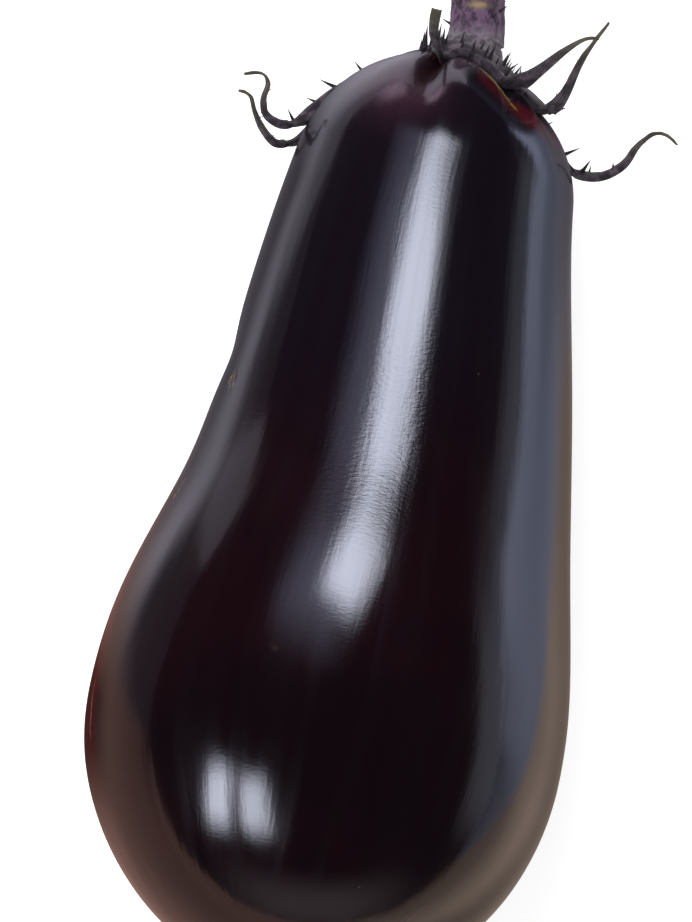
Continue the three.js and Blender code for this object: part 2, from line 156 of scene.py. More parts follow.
@dataclass(frozen=True)
class Wobble:
    """Gentle unevenness, the same on each run, made of a few crossing waves.

    Attributes:
        seed: Picks the waves.
        length: Usual length of a wave in millimetres.
        height: Usual height of the unevenness in millimetres.
        stretch: How much of each coordinate counts; less than 1 draws the waves out that way.
        waves: How many waves cross.
    """

    seed: int
    length: float
    height: float
    stretch: tuple[float, float, float] = (1.0, 1.0, 1.0)
    waves: int = 9

    def at(self, places: np.ndarray) -> np.ndarray:
        """Return the height of the unevenness at places in millimetres."""
        draw = np.random.default_rng(self.seed)
        total = np.zeros(places.shape[:-1])
        for _ in range(self.waves):
            way = unit(draw.normal(size=3)) * np.array(self.stretch)
            length = self.length * draw.uniform(0.6, 1.6)
            total += np.sin(2 * math.pi * (places @ way) / length + draw.uniform(0, 2 * math.pi))
        return self.height * total / math.sqrt(self.waves)


class MeshMaker:
    """Gathers points, masks and faces of one piece."""

    def __init__(self) -> None:
        """Start with nothing."""
        self.places: list[np.ndarray] = []
        self.masks: dict[Mask, list[np.ndarray]] = {}
        self.faces: list[list[int]] = []
        self.count = 0

    def points(self, places: np.ndarray, masks: dict[Mask, np.ndarray] | None = None) -> np.ndarray:
        """Add points.

        Args:
            places: Places in millimetres, in an array of any shape that ends in 3.
            masks: Values for the points, by mask. The others stay at 0.

        Returns:
            The points' numbers, in an array of the same shape without its last dimension.
        """
        shape = places.shape[:-1]
        number = int(np.prod(shape))
        self.places.append(places.reshape(-1, 3))
        given = masks or {}
        for mask in {*self.masks, *given}:
            width = 3 if mask is Mask.GRAIN else 1
            if mask not in self.masks:
                self.masks[mask] = [np.zeros((self.count, width))]
            values = given.get(mask, np.zeros(shape + (width,)))
            if values.ndim == len(shape):
                values = values[..., None]
            self.masks[mask].append(np.broadcast_to(values, shape + (width,)).reshape(-1, width))
        self.count += number
        return np.arange(self.count - number, self.count).reshape(shape)

    def sheet(self, grid: np.ndarray, closed: bool = False) -> None:
        """Add the faces of a grid of points.

        Args:
            grid: Point numbers, row by row.
            closed: Whether the last column joins the first.
        """
        if closed:
            grid = np.concatenate([grid, grid[:, :1]], axis=1)
        corners = np.stack([grid[:-1, :-1], grid[:-1, 1:], grid[1:, 1:], grid[1:, :-1]], axis=-1)
        self.faces.extend(corners.reshape(-1, 4).tolist())

    def fan(self, ring: np.ndarray, centre: int) -> None:
        """Close a ring of points with a fan of triangles round a point at its centre."""
        after = np.roll(ring, -1)
        self.faces.extend([int(a), int(b), centre] for a, b in zip(ring, after))

    def build(self, name: str) -> bpy.types.Object:
        """Make the piece.

        Args:
            name: The piece's name.

        Returns:
            A smooth-shaded object in metres with its masks as attributes.
        """
        mesh = bpy.data.meshes.new(name)
        mesh.from_pydata((np.concatenate(self.places) * MM).tolist(), [], self.faces)
        for mask, blocks in self.masks.items():
            values = np.concatenate(blocks)
            if mask is Mask.GRAIN:
                layer = mesh.attributes.new(mask.value, "FLOAT_VECTOR", "POINT")
                layer.data.foreach_set("vector", values.ravel())
            else:
                layer = mesh.attributes.new(mask.value, "FLOAT", "POINT")
                layer.data.foreach_set("value", values.ravel())
        work = bmesh.new()
        work.from_mesh(mesh)
        bmesh.ops.recalc_face_normals(work, faces=work.faces)
        work.to_mesh(mesh)
        work.free()
        mesh.shade_smooth()
        piece = bpy.data.objects.new(name, mesh)
        bpy.context.scene.collection.objects.link(piece)
        return piece


@dataclass(frozen=True)
class Thorns:
    """Shape of the sharp prickles of the calyx and the stem."""

    lengths: tuple[float, float] = (1.6, 4.6)
    radius: float = 0.68
    slimmest: float = 0.35
    root: float = 0.7
    sides: int = 8
    rings: int = 7
    bend: float = 0.16

    def add(self, maker: MeshMaker, root: np.ndarray, way: np.ndarray, length: float) -> None:
        """Grow one prickle.

        Args:
            maker: The piece that it grows from.
            root: The place on the surface under its middle.
            way: The direction that it points in.
            length: How far it stands out.
        """
        way = unit(way)
        side = unit(np.cross(way, UP + 0.3 * way[[1, 2, 0]]))
        top = np.cross(side, way)
        shares = np.linspace(0, 1, self.rings)[:-1]
        angles = np.linspace(0, 2 * math.pi, self.sides, endpoint=False)
        height = lerp(-self.root, length, shares)
        sag = self.bend * length * shares**2
        thickness = lerp(self.slimmest, 1.0, length / self.lengths[1])
        radius = self.radius * thickness * (1 - shares)
        centre = root + height[:, None] * way + sag[:, None] * top
        ring = np.cos(angles)[:, None] * side + np.sin(angles)[:, None] * top
        places = centre[:, None] + radius[:, None, None] * ring
        grid = maker.points(places, {Mask.PRICKLE: np.repeat(0.25 + 0.75 * shares[:, None], self.sides, 1)})
        maker.sheet(grid, closed=True)
        tip = root + length * way + self.bend * length * top
        maker.fan(grid[-1], int(maker.points(tip, {Mask.PRICKLE: np.array(1.0)})))
        foot = maker.points(root - self.root * way, {Mask.PRICKLE: np.array(0.2)})
        maker.fan(grid[0], int(foot))


@dataclass(frozen=True)
class Lobe:
    """One lobe of the calyx.

    Attributes:
        around: The direction it grows in, in degrees round the stem's foot from +X over the top.
        half_width: Half width of its blade where it leaves the rim.
        twist: Degrees that its free blade is turned over on its midline.
        prickles: How many prickles stand on it.
        path: Down, around and lift of its midline from the rim to the tip.
        tip_half_width: Half width of its tip.
        furrow: Depth of the skin's furrow under it.
        furrow_spread: Half width of the furrow in degrees.
        lip: Height of the raised lips beside the furrow.
        drift: Degrees that the furrow swings for each millimetre down.
        spikes: Long prickles, each by its share of the lobe's length, its place across from -1 to
            1, its length, and how far it leans sideways and towards the tip.
    """

    around: float
    half_width: float
    twist: float
    prickles: int
    path: tuple[tuple[float, float, float], ...]
    tip_half_width: float = 0.3
    furrow: float = 1.2
    furrow_spread: float = 8.5
    lip: float = 0.0
    drift: float = 0.0
    spikes: tuple[tuple[float, float, float, float, float], ...] = ()


LOBES = (
    Lobe(29, 4.2, 16, 4, (
        (11, 29, 0), (15, 26, 0), (19.4, 24, 0.2), (21.6, 24, 2.4), (21.2, 27, 7), (19.6, 30, 12.8),
        (18.7, 31, 17.4), (17.7, 29.5, 23.2)),
        spikes=((0.30, -0.7, 2.6, -0.9, 0.2), (0.38, -0.9, 3.2, -1.4, 0.3), (0.46, -0.9, 2.4, -1.6, 0.4),
                (0.10, 0.4, 3.0, 0.3, 0.2))),
    Lobe(55, 3.9, 45, 3, (
        (11, 55, 0), (14, 53, 0), (16.5, 52, 0.4), (19, 51, 3.4), (20.4, 50, 7.4), (20.7, 48, 12.6),
        (21, 45, 16.8), (21.6, 41, 19)),
        spikes=((0.06, -0.3, 4.2, -0.6, 0.2), (0.16, 0.1, 3.4, -0.2, 0.2), (0.40, 0.8, 2.0, 0.8, 0.3))),
    Lobe(114, 2.2, 0, 2, (
        (11, 115, 0), (12.8, 115, 0.4), (15, 114, 2.2), (17.6, 113, 4.8), (19.3, 111, 7.8),
        (20.2, 109, 10.6), (20.6, 108, 13.4)), tip_half_width=1.05,
        furrow=2.5, furrow_spread=5.5, lip=0.75, drift=-0.6),
    Lobe(184, 2.5, 40, 3, (
        (11, 185, 0), (20, 188, 0), (29, 185, 0), (36.4, 176, 0.3), (39.6, 172, 3.6), (39.4, 171, 7.6),
        (37.6, 170, 9.8), (35.4, 169, 10.6), (34.6, 169, 12.4), (35.8, 170, 15.4)), furrow=1.0,
        spikes=((0.12, 0.1, 3.4, 0.1, 0.3), (0.19, 0.1, 4.4, 0.2, 0.5), (0.25, 0.2, 3.0, 0.3, 0.2),
                (0.37, 0.2, 3.2, 0.2, 0.0))),
    Lobe(210, 2.9, 40, 4, (
        (11, 210, 0), (21, 207, 0), (30, 201, 0), (37.8, 192, 0.3), (41, 187, 3.8), (39.8, 185, 7.6),
        (37.8, 183, 10.8), (36.4, 181, 13), (36.6, 180, 15.4)), furrow=1.0,
        spikes=((0.15, 0.1, 3.6, 0.2, 0.4), (0.28, -0.2, 3.2, -0.3, 0.2))),
    Lobe(243, 2.6, 15, 4, (
        (11, 243, 0), (16, 242, 0), (21, 240, 0), (25, 238, 0.8), (27, 235, 3.6), (26.6, 231, 7),
        (24.4, 228, 10)),
        spikes=((0.2, 0.3, 4.0, 0.4, 0.2),)),
    Lobe(287, 2.6, 0, 3, (
        (11, 287, 0), (14, 288, 0), (17, 289, 0.1), (19.4, 290, 0.7), (21.4, 292, 1.8),
        (23, 295, 3), (24, 299, 4.2)), furrow=1.0,
        spikes=((0.3, -0.2, 3.6, -0.3, 0.2),)),
    Lobe(338, 3.3, -40, 3, (
        (11, 338, 0), (18, 340, 0), (25.6, 342, 0.1), (30.2, 343, 1.6), (32, 343, 4.6), (32.4, 343, 8.8),
        (31.4, 345, 13.4), (29.4, 348, 16.8), (28.6, 350, 20), (29.2, 352, 22), (30.8, 353, 23.6)),
        spikes=((0.12, 0.2, 3.6, 0.2, 0.2), (0.22, 0.3, 4.8, 0.3, 0.3), (0.37, 0.1, 4.6, 0.1, 0.2),
                (0.43, -0.6, 2.4, -0.6, 0.2), (0.55, 0.0, 2.0, 0.0, 0.2))),
)


@dataclass
class SkinForm:
    """Shape of the fruit's skin.

    A place on it is given by how far down from the stem's foot it lies, measured over the skin,
    and by the direction around the fruit in degrees from +X over the top. Control values stand
    control_step apart along the fruit, the first one a step before the blossom end.
    """

    length: float = 184.5
    control_step: float = 30.0
    half_widths: tuple[float, ...] = (42, 42, 46, 48, 39, 35, 30.5, 26, 24)
    axis_across: tuple[float, ...] = (-24.5, -16.5, -9, -3.5, 4.5, 9.5, 13.5, 21, 32.5)
    axis_heights: tuple[float, ...] = (63.5, 56.5, 49.5, 43.2, 37, 34, 31.5, 29, 26.5)
    height_to_width: float = 0.97
    rest_station: float = 73.0
    blossom_reach: float = 48.5
    blossom_power: float = 2.45
    shoulder_reach: float = 23.5
    shoulder_power: float = 2.25
    rim_down: float = 11.0
    furrow_middle: float = 17.0
    furrow_reach: float = 12.0
    lip_away: float = 19.0
    lip_spread: float = 12.0
    bulge_share: float = 0.35
    even_sector: float = 45.0
    dimple_depth: float = 1.6
    dimple_reach: float = 6.0
    dent_station: float = 119.0
    dent_around: float = 176.0
    dent_depth: float = 0.8
    dent_reach: float = 7.0
    turn_steps: int = 600
    meridians: int = 16
    distances: np.ndarray = field(init=False)
    turns: np.ndarray = field(init=False)

    def __post_init__(self) -> None:
        """Measure the distance over the skin from the stem's foot to each turn."""
        self.turns = np.linspace(math.pi, 0, self.turn_steps + 1)
        around = np.arange(self.meridians) * 360 / self.meridians
        rings = self.smooth(self.turns[:, None], around[None])
        steps = np.linalg.norm(np.diff(rings, axis=0), axis=-1).mean(axis=1)
        self.distances = np.concatenate([[0], np.cumsum(steps)])

    @property
    def skin_length(self) -> float:
        """Distance over the skin from the stem's foot to the blossom end."""
        return float(self.distances[-1])

    def along(self, values: tuple[float, ...], station: np.ndarray, slope: bool = False) -> np.ndarray:
        """Find a smooth curve's value along the fruit.

        Args:
            values: Control values.
            station: Places along the fruit.
            slope: Whether to find the curve's slope.

        Returns:
            The curve's value or slope at each station.
        """
        controls = np.array(values, float)
        place = station / self.control_step + 1
        first = np.clip(np.floor(place).astype(int), 1, len(controls) - 3)
        t = place - first
        if slope:
            shares = (-((1 - t) ** 2) / 2, (3 * t * t - 4 * t) / 2, (-3 * t * t + 2 * t + 1) / 2, t * t / 2)
            shares = tuple(share / self.control_step for share in shares)
        else:
            shares = ((1 - t) ** 3 / 6, (3 * t**3 - 6 * t * t + 4) / 6,
                      (-3 * t**3 + 3 * t * t + 3 * t + 1) / 6, t**3 / 6)
        return sum(share * controls[first - 1 + k] for k, share in enumerate(shares))

    def station_at(self, turn: np.ndarray) -> np.ndarray:
        """Return the place along the fruit at turns from 0, the blossom end, to pi, the stem."""
        return self.length * (1 - np.cos(turn)) / 2

    def end_rounding(self, station: np.ndarray) -> np.ndarray:
        """Return the share of the full width that the rounded ends leave at a station."""
        blossom = np.clip((self.blossom_reach - station) / self.blossom_reach, 0, 1)
        from_shoulder = station - (self.length - self.shoulder_reach)
        shoulder = np.clip(from_shoulder / self.shoulder_reach, 0, 1)
        blossom_share = np.sqrt(np.maximum(1 - blossom**self.blossom_power, 0))
        return blossom_share * np.sqrt(np.maximum(1 - shoulder**self.shoulder_power, 0))

    def axis_way(self, station: np.ndarray) -> np.ndarray:
        """Return the direction of the fruit's axis at a station."""
        across = self.along(self.axis_across, station, slope=True)
        height = self.along(self.axis_heights, station, slope=True)
        return unit(np.stack([across, np.ones_like(across), height], axis=-1))

    def smooth(self, turn: np.ndarray, around: np.ndarray) -> np.ndarray:
        """Find places on the skin without its relief.

        Args:
            turn: Turns from 0, the blossom end, to pi, the stem.
            around: Directions around the fruit in degrees.

        Returns:
            Places in millimetres.
        """
        turn, around = np.broadcast_arrays(np.asarray(turn, float), np.asarray(around, float))
        station = self.station_at(turn)
        radius = self.along(self.half_widths, station) * self.end_rounding(station)
        axis = self.axis_way(station)
        side = unit(np.cross(axis, UP))
        top = np.cross(side, axis)
        across = self.along(self.axis_across, station)
        height = self.along(self.axis_heights, station)
        centre = np.stack([across, station - self.rest_station, height], axis=-1)
        angle = np.radians(around)
        side_reach = (radius * np.cos(angle))[..., None]
        top_reach = (radius * self.height_to_width * np.sin(angle))[..., None]
        return centre + side_reach * side + top_reach * top

    def normal(self, turn: np.ndarray, around: np.ndarray) -> np.ndarray:
        """Return the outward direction of the smooth skin."""
        step = 0.002
        inner = np.clip(turn, 3 * step, math.pi - 3 * step)
        lengthways = self.smooth(inner + step, around) - self.smooth(inner - step, around)
        sideways = self.smooth(inner, around + 0.1) - self.smooth(inner, around - 0.1)
        return unit(np.cross(lengthways, sideways))

    def turn_at(self, down: np.ndarray) -> np.ndarray:
        """Return the turn at a distance down from the stem's foot."""
        return np.interp(down, self.distances, self.turns)

    def down_at(self, turn: np.ndarray) -> np.ndarray:
        """Return the distance down from the stem's foot at a turn."""
        return np.interp(-np.asarray(turn), -self.turns, self.distances)

    def relief(self, down: np.ndarray, around: np.ndarray) -> np.ndarray:
        """Find the height of the furrows, bulges, dimple and dent.

        Args:
            down: Distances down from the stem's foot.
            around: Directions around the fruit in degrees.

        Returns:
            Heights over the smooth skin in millimetres.
        """
        band = bell((down - self.furrow_middle) / self.furrow_reach) * np.minimum(down / self.rim_down, 1)
        height = np.zeros(np.broadcast(down, around).shape)
        for k, lobe in enumerate(LOBES):
            gap = (LOBES[(k + 1) % len(LOBES)].around - lobe.around) % 360
            aside = swing(lobe.around + lobe.drift * (down - self.rim_down), around)
            height -= lobe.furrow * band * bell(aside / lobe.furrow_spread)
            height += lobe.lip * band * bell((np.abs(aside) - self.lip_away) / self.lip_spread)
            bulge = bell(swing(lobe.around + gap / 2, around) / (gap * self.bulge_share))
            height += gap / self.even_sector * self.bulge_share * band * bulge
        height -= self.dimple_depth * bell((self.skin_length - down) / self.dimple_reach)
        dent_along = (self.station_at(self.turn_at(down)) - self.dent_station) / self.dent_reach
        dent_across = swing(self.dent_around, around) / (2 * self.dent_reach)
        return height - self.dent_depth * bell(np.hypot(dent_along, dent_across))

    def over(self, down: np.ndarray, around: np.ndarray, lift: np.ndarray = 0.0) -> np.ndarray:
        """Find places that stand above the finished skin.

        Args:
            down: Distances down from the stem's foot.
            around: Directions around the fruit in degrees.
            lift: Heights over the skin.

        Returns:
            Places in millimetres.
        """
        down, around, lift = np.broadcast_arrays(
            np.asarray(down, float), np.asarray(around, float), np.asarray(lift, float))
        turn = self.turn_at(down)
        height = self.relief(down, around) + lift
        return self.smooth(turn, around) + height[..., None] * self.normal(turn, around)

    @property
    def stem_foot(self) -> np.ndarray:
        """Place where the stem leaves the fruit."""
        return self.smooth(np.array(math.pi), np.array(0.0))

    @property
    def stem_way(self) -> np.ndarray:
        """Direction in which the stem leaves the fruit."""
        return self.axis_way(np.array(self.length))

    def beside_stem(self, height: np.ndarray, radius: np.ndarray, around: np.ndarray) -> np.ndarray:
        """Return places beside the stem's axis, at heights over its foot."""
        side = unit(np.cross(self.stem_way, UP))
        top = np.cross(side, self.stem_way)
        angle = np.radians(around)
        across = np.cos(angle)[..., None] * side + np.sin(angle)[..., None] * top
        centre = self.stem_foot + np.asarray(height)[..., None] * self.stem_way
        return centre + np.asarray(radius)[..., None] * across


class NodeBench:
    """Adds and joins the nodes of one shader tree."""

    def __init__(self, tree: bpy.types.NodeTree) -> None:
        """Work on a tree."""
        self.tree = tree

    def put(self, kind: str, inputs: dict | None = None, **settings: object) -> bpy.types.Node:
        """Add a node.

        Args:
            kind: The node's type.
            inputs: Values or sockets for its inputs, by name or number.
            settings: Its other settings.

        Returns:
            The node.
        """
        node = self.tree.nodes.new(kind)
        for name, value in settings.items():
            setattr(node, name, value)
        for name, value in (inputs or {}).items():
            if isinstance(value, bpy.types.NodeSocket):
                self.tree.links.new(value, node.inputs[name])
            else:
                node.inputs[name].default_value = value
        return node

    def math(self, operation: str, first: object, second: object = 0.0) -> bpy.types.NodeSocket:
        """Return the result of a sum on two values or sockets."""
        return self.put("ShaderNodeMath", {0: first, 1: second}, operation=operation).outputs[0]

    def span(self, value: object, low: float, high: float, out_low: float = 0.0,
             out_high: float = 1.0) -> bpy.types.NodeSocket:
        """Map a range of a value to another range.

        Args:
            value: The value's socket.
            low: Lower end of its range.
            high: Upper end of its range.
            out_low: Result at the lower end.
            out_high: Result at the upper end.

        Returns:
            The result's socket.
        """
        inputs = {"Value": value, "From Min": low, "From Max": high, "To Min": out_low, "To Max": out_high}
        return self.put("ShaderNodeMapRange", inputs, interpolation_type="SMOOTHSTEP").outputs["Result"]

    def blend(self, share: object, first: object, second: object) -> bpy.types.NodeSocket:
        """Return a mix of two colours by a share."""
        return self.put("ShaderNodeMix", {0: share, 6: first, 7: second}, data_type="RGBA").outputs[2]

    def mix(self, share: object, first: object, second: object) -> bpy.types.NodeSocket:
        """Return a mix of two values by a share."""
        return self.put("ShaderNodeMix", {0: share, 2: first, 3: second}, data_type="FLOAT").outputs[0]

    def product(self, *factors: object) -> bpy.types.NodeSocket:
        """Return the product of several values or sockets."""
        result = factors[0]
        for factor in factors[1:]:
            result = self.math("MULTIPLY", result, factor)
        return result

    def mask(self, mask: Mask) -> bpy.types.NodeSocket:
        """Return the socket of a value that the mesh keeps."""
        node = self.put("ShaderNodeAttribute", attribute_name=mask.value)
        return node.outputs["Vector" if mask is Mask.GRAIN else "Fac"]

    def noise(self, vector: object, scale: float, detail: float = 2.0, roughness: float = 0.5,
              distortion: float = 0.0) -> bpy.types.NodeSocket:
        """Add cloudy noise.

        Args:
            vector: Where it is read.
            scale: Clouds a unit.
            detail: Finer layers.
            roughness: Share of the finer layers.
            distortion: How far the clouds are pulled about.

        Returns:
            The noise's value.
        """
        inputs = {"Vector": vector, "Scale": scale, "Detail": detail, "Roughness": roughness,
                  "Distortion": distortion}
        return self.put("ShaderNodeTexNoise", inputs).outputs["Fac"]


class Group(Enum):
    """Shared effects, each built once as a node group."""

    STREAKS = "Lengthwise streaks"
    SPECKS = "Corky specks"
    FELT = "Felted hairs"


def colour(red: float, green: float, blue: float) -> tuple[float, float, float, float]:
    """Return a shader colour with full cover."""
    return (red, green, blue, 1.0)


@dataclass
class EffectShelf:
    """Builds the shared effects and places them in materials."""

    built: dict[Group, bpy.types.NodeTree] = field(default_factory=dict)

    def use(self, bench: NodeBench, group: Group, inputs: dict) -> bpy.types.Node:
        """Place a shared effect in a material.

        Args:
            bench: The material's nodes.
            group: The effect.
            inputs: Its values or sockets by name.

        Returns:
            The group's node.
        """
        if group not in self.built:
            makers = {Group.STREAKS: self.streaks, Group.SPECKS: self.specks, Group.FELT: self.felt}
            self.built[group] = makers[group]()
        node = bench.put("ShaderNodeGroup", node_tree=self.built[group])
        for name, value in inputs.items():
            if isinstance(value, bpy.types.NodeSocket):
                bench.tree.links.new(value, node.inputs[name])
            else:
                node.inputs[name].default_value = value
        return node

    def start(self, group: Group, inputs: dict[str, str], outputs: dict[str, str]) -> tuple:
        """Start a node group.

        Args:
            group: The effect.
            inputs: Socket types by input name.
            outputs: Socket types by output name.

        Returns:
            Its tree, the bench for it, its input node and its output node.
        """
        tree = bpy.data.node_groups.new(group.value, "ShaderNodeTree")
        for name, kind in inputs.items():
            tree.interface.new_socket(name, in_out="INPUT", socket_type=kind)
        for name, kind in outputs.items():
            tree.interface.new_socket(name, in_out="OUTPUT", socket_type=kind)
        bench = NodeBench(tree)
        return tree, bench, bench.put("NodeGroupInput"), bench.put("NodeGroupOutput")

    def streaks(self) -> bpy.types.NodeTree:
        """Build fine streaks that run the length of the piece, wide ones and narrow ones."""
        value = "NodeSocketFloat"
        tree, bench, given, result = self.start(
            Group.STREAKS, {"Vector": "NodeSocketVector", "Scale": value, "Stretch": value},
            {"Wide": value, "Narrow": value})
        scale = given.outputs["Scale"]
        drawn = bench.put("ShaderNodeCombineXYZ", {
            0: scale, 1: scale, 2: bench.math("MULTIPLY", scale, given.outputs["Stretch"])})
        scaled = bench.put("ShaderNodeVectorMath", {
            0: given.outputs["Vector"], 1: drawn.outputs[0]}, operation="MULTIPLY").outputs[0]
        bench.tree.links.new(bench.noise(scaled, 0.28, 3.0, 0.55, 0.3), result.inputs["Wide"])
        bench.tree.links.new(bench.noise(scaled, 1.6, 3.0, 0.6, 0.2), result.inputs["Narrow"])
        return tree

    def specks(self) -> bpy.types.NodeTree:
        """Build scattered small round specks of which only a share shows."""
        value = "NodeSocketFloat"
        tree, bench, given, result = self.start(
            Group.SPECKS, {"Vector": "NodeSocketVector", "Scale": value, "Radius": value, "Share": value},
            {"Speck": value})
        cells = bench.put("ShaderNodeTexVoronoi", {
            "Vector": given.outputs["Vector"], "Scale": given.outputs["Scale"], "Randomness": 1.0})
        parts = bench.put("ShaderNodeSeparateColor", {0: cells.outputs["Color"]})
        size = bench.math("MULTIPLY", given.outputs["Radius"], bench.span(parts.outputs[0], 0, 1, 0.4, 1.0))
        near = bench.math("DIVIDE", cells.outputs["Distance"], size)
        round_speck = bench.span(near, 1.0, 0.5)
        kept = bench.math("LESS_THAN", parts.outputs[1], given.outputs["Share"])
        bench.tree.links.new(bench.math("MULTIPLY", round_speck, kept), result.inputs["Speck"])
        return tree

    def felt(self) -> bpy.types.NodeTree:
        """Build short matted hairs: their height and a cloudy tint."""
        value = "NodeSocketFloat"
        tree, bench, given, result = self.start(
            Group.FELT, {"Vector": "NodeSocketVector", "Scale": value}, {"Height": value, "Tint": value})
        scaled = bench.put("ShaderNodeVectorMath", {
            0: given.outputs["Vector"], 3: given.outputs["Scale"]}, operation="SCALE").outputs[0]
        hairs = bench.noise(scaled, 6.0, 4.0, 0.7, 1.5)
        clouds = bench.noise(scaled, 0.9, 3.0, 0.6, 0.4)
        height = bench.math("ADD", bench.math("MULTIPLY", hairs, 0.6), bench.math("MULTIPLY", clouds, 0.4))
        bench.tree.links.new(height, result.inputs["Height"])
        bench.tree.links.new(bench.span(clouds, 0.40, 0.62), result.inputs["Tint"])
        return tree


def new_material(name: str) -> tuple[bpy.types.Material, NodeBench, bpy.types.Node]:
    """Start a material.

    Args:
        name: Its name.

    Returns:
        The material, its bench and its surface shader.
    """
    material = bpy.data.materials.new(name)
    material.use_nodes = True
    tree = material.node_tree
    tree.nodes.clear()
    bench = NodeBench(tree)
    shader = bench.put("ShaderNodeBsdfPrincipled")
    bench.put("ShaderNodeOutputMaterial", {"Surface": shader.outputs[0]})
    return material, bench, shader


@dataclass(frozen=True)
class SkinFinish:
    """Very glossy near-black purple skin with faint streaks and corky nicks."""

    deep: tuple = colour(0.0058, 0.0016, 0.0038)
    reddish: tuple = colour(0.0100, 0.0019, 0.0042)
    plum: tuple = colour(0.0068, 0.0034, 0.0080)
    crimson: tuple = colour(0.082, 0.004, 0.010)
    edge_red: tuple = colour(0.165, 0.004, 0.005)
    pink: tuple = colour(0.050, 0.018, 0.036)
    crease: tuple = colour(0.020, 0.007, 0.010)
    lime: tuple = colour(0.34, 0.27, 0.035)
    cork: tuple = colour(0.34, 0.25, 0.15)
    cork_dark: tuple = colour(0.06, 0.035, 0.02)
    cloud_scale: float = 0.035
    cloud_range: tuple[float, float] = (0.38, 0.68)
    plum_range: tuple[float, float] = (130.0, 70.0)
    streak_scale: float = 0.8
    streak_stretch: float = 0.07
    speck_scale: float = 0.16
    speck_radius: float = 0.05
    speck_share: float = 0.22
    speck_strength: float = 0.35
    cork_grain: float = 2.2
    cork_range: tuple[float, float] = (0.4, 0.62)
    line_scales: tuple[float, float] = (0.42, 0.05)
    hatch_scales: tuple[float, float] = (0.75, 1.9)
    calm_hatch: float = 0.35
    shaded_crease_shine: tuple[float, float] = (0.5, 0.06)
    streak_range: tuple[float, float] = (0.35, 0.75)
    gloss: float = 0.13
    streak_gloss: float = 0.24
    cork_roughness: float = 0.75
    shaded_crease_roughness: float = 0.62
    coat_roughness: float = 0.09
    wide_depth: float = 0.000030
    narrow_depth: float = 0.000006
    hatch_depth: float = 0.000030

    def build(self, shelf: EffectShelf) -> bpy.types.Material:
        """Build the material.

        Args:
            shelf: The shared effects.

        Returns:
            The material.
        """
        material, bench, shader = new_material("Eggplant skin")
        grain = bench.mask(Mask.GRAIN)
        scar = bench.mask(Mask.SCAR)
        streaks = shelf.use(bench, Group.STREAKS, {
            "Vector": grain, "Scale": self.streak_scale, "Stretch": self.streak_stretch})
        specks = shelf.use(bench, Group.SPECKS, {
            "Vector": grain, "Scale": self.speck_scale, "Radius": self.speck_radius,
            "Share": self.speck_share}).outputs["Speck"]
        clouds = bench.noise(grain, self.cloud_scale, 3.0, 0.5)

        base = bench.blend(bench.span(clouds, *self.cloud_range), self.deep, self.reddish)
        down = bench.put("ShaderNodeSeparateXYZ", {0: grain}).outputs[2]
        base = bench.blend(bench.span(down, *self.plum_range), base, self.plum)
        pinkish = bench.math("MULTIPLY", bench.mask(Mask.PINK), bench.span(clouds, 0.2, 0.7, 0.7, 1.0))
        base = bench.blend(pinkish, base, self.pink)
        red_share = bench.math("MULTIPLY", bench.mask(Mask.RED_SIDE), bench.span(clouds, 0.2, 0.7, 0.6, 1.0))
        base = bench.blend(red_share, base, self.edge_red)
        cloudy = bench.span(streaks.outputs["Wide"], 0.25, 0.7, 0.55, 1.0)
        base = bench.blend(bench.math("MULTIPLY", bench.mask(Mask.BLUSH), cloudy), base, self.crimson)
        base = bench.blend(bench.mask(Mask.RIM_LINE), base, self.lime)
        grainy = bench.noise(grain, self.cork_grain, 3.0, 0.6)
        cork = bench.blend(bench.span(grainy, *self.cork_range), self.cork_dark, self.cork)
        # Painted shade: the notch under the front lobe gets a dark red tone and loses its coat and most of
        # its specular, so that it stays dark.
        crease = bench.mask(Mask.SHADED_CREASE)
        base = bench.blend(crease, base, self.crease)
        marks = bench.math("MAXIMUM", scar, bench.math("MULTIPLY", specks, self.speck_strength))
        base = bench.blend(marks, base, cork)
        bench.tree.links.new(base, shader.inputs["Base Color"])

        streaked = bench.span(streaks.outputs["Wide"], *self.streak_range, self.gloss, self.streak_gloss)
        rough = bench.mix(crease, bench.mix(scar, streaked, self.cork_roughness), self.shaded_crease_roughness)
        bench.tree.links.new(rough, shader.inputs["Roughness"])
        bare = bench.math("SUBTRACT", 1.0, bench.math("MAXIMUM", scar, crease))
        bench.tree.links.new(bare, shader.inputs["Coat Weight"])
        shine = bench.span(crease, 0.0, 1.0, *self.shaded_crease_shine)
        bench.tree.links.new(shine, shader.inputs["Specular IOR Level"])
        shader.inputs["Coat Roughness"].default_value = self.coat_roughness

        # Long low streaks, fine lines along the fruit and a finer hatch across it
        long_lines = bench.noise(self.drawn(bench, grain, *self.line_scales), 1.0, 3.0, 0.55, 0.4)
        hatch = bench.noise(self.drawn(bench, grain, *self.hatch_scales), 1.0, 2.0, 0.55, 0.5)
        strength = bench.span(bench.mask(Mask.WRINKLE), 0, 1, self.calm_hatch, 1.0)
        hatched = bench.math("MULTIPLY", hatch, strength)
        normal = None
        heights = ((long_lines, self.wide_depth), (streaks.outputs["Narrow"], self.narrow_depth),
                   (hatched, self.hatch_depth))
        for height, depth in heights:
            inputs = {"Strength": 1.0, "Distance": depth, "Height": height}
            if normal is not None:
                inputs["Normal"] = normal
            normal = bench.put("ShaderNodeBump", inputs).outputs[0]
        bench.tree.links.new(normal, shader.inputs["Normal"])
        bench.tree.links.new(normal, shader.inputs["Coat Normal"])
        return material

    def drawn(self, bench: NodeBench, vector: object, across: float, along: float) -> bpy.types.NodeSocket:
        """Return a vector scaled by one amount across the fruit and another along it."""
        scales = (across, across, along)
        return bench.put("ShaderNodeVectorMath", {0: vector, 1: scales}, operation="MULTIPLY").outputs[0]


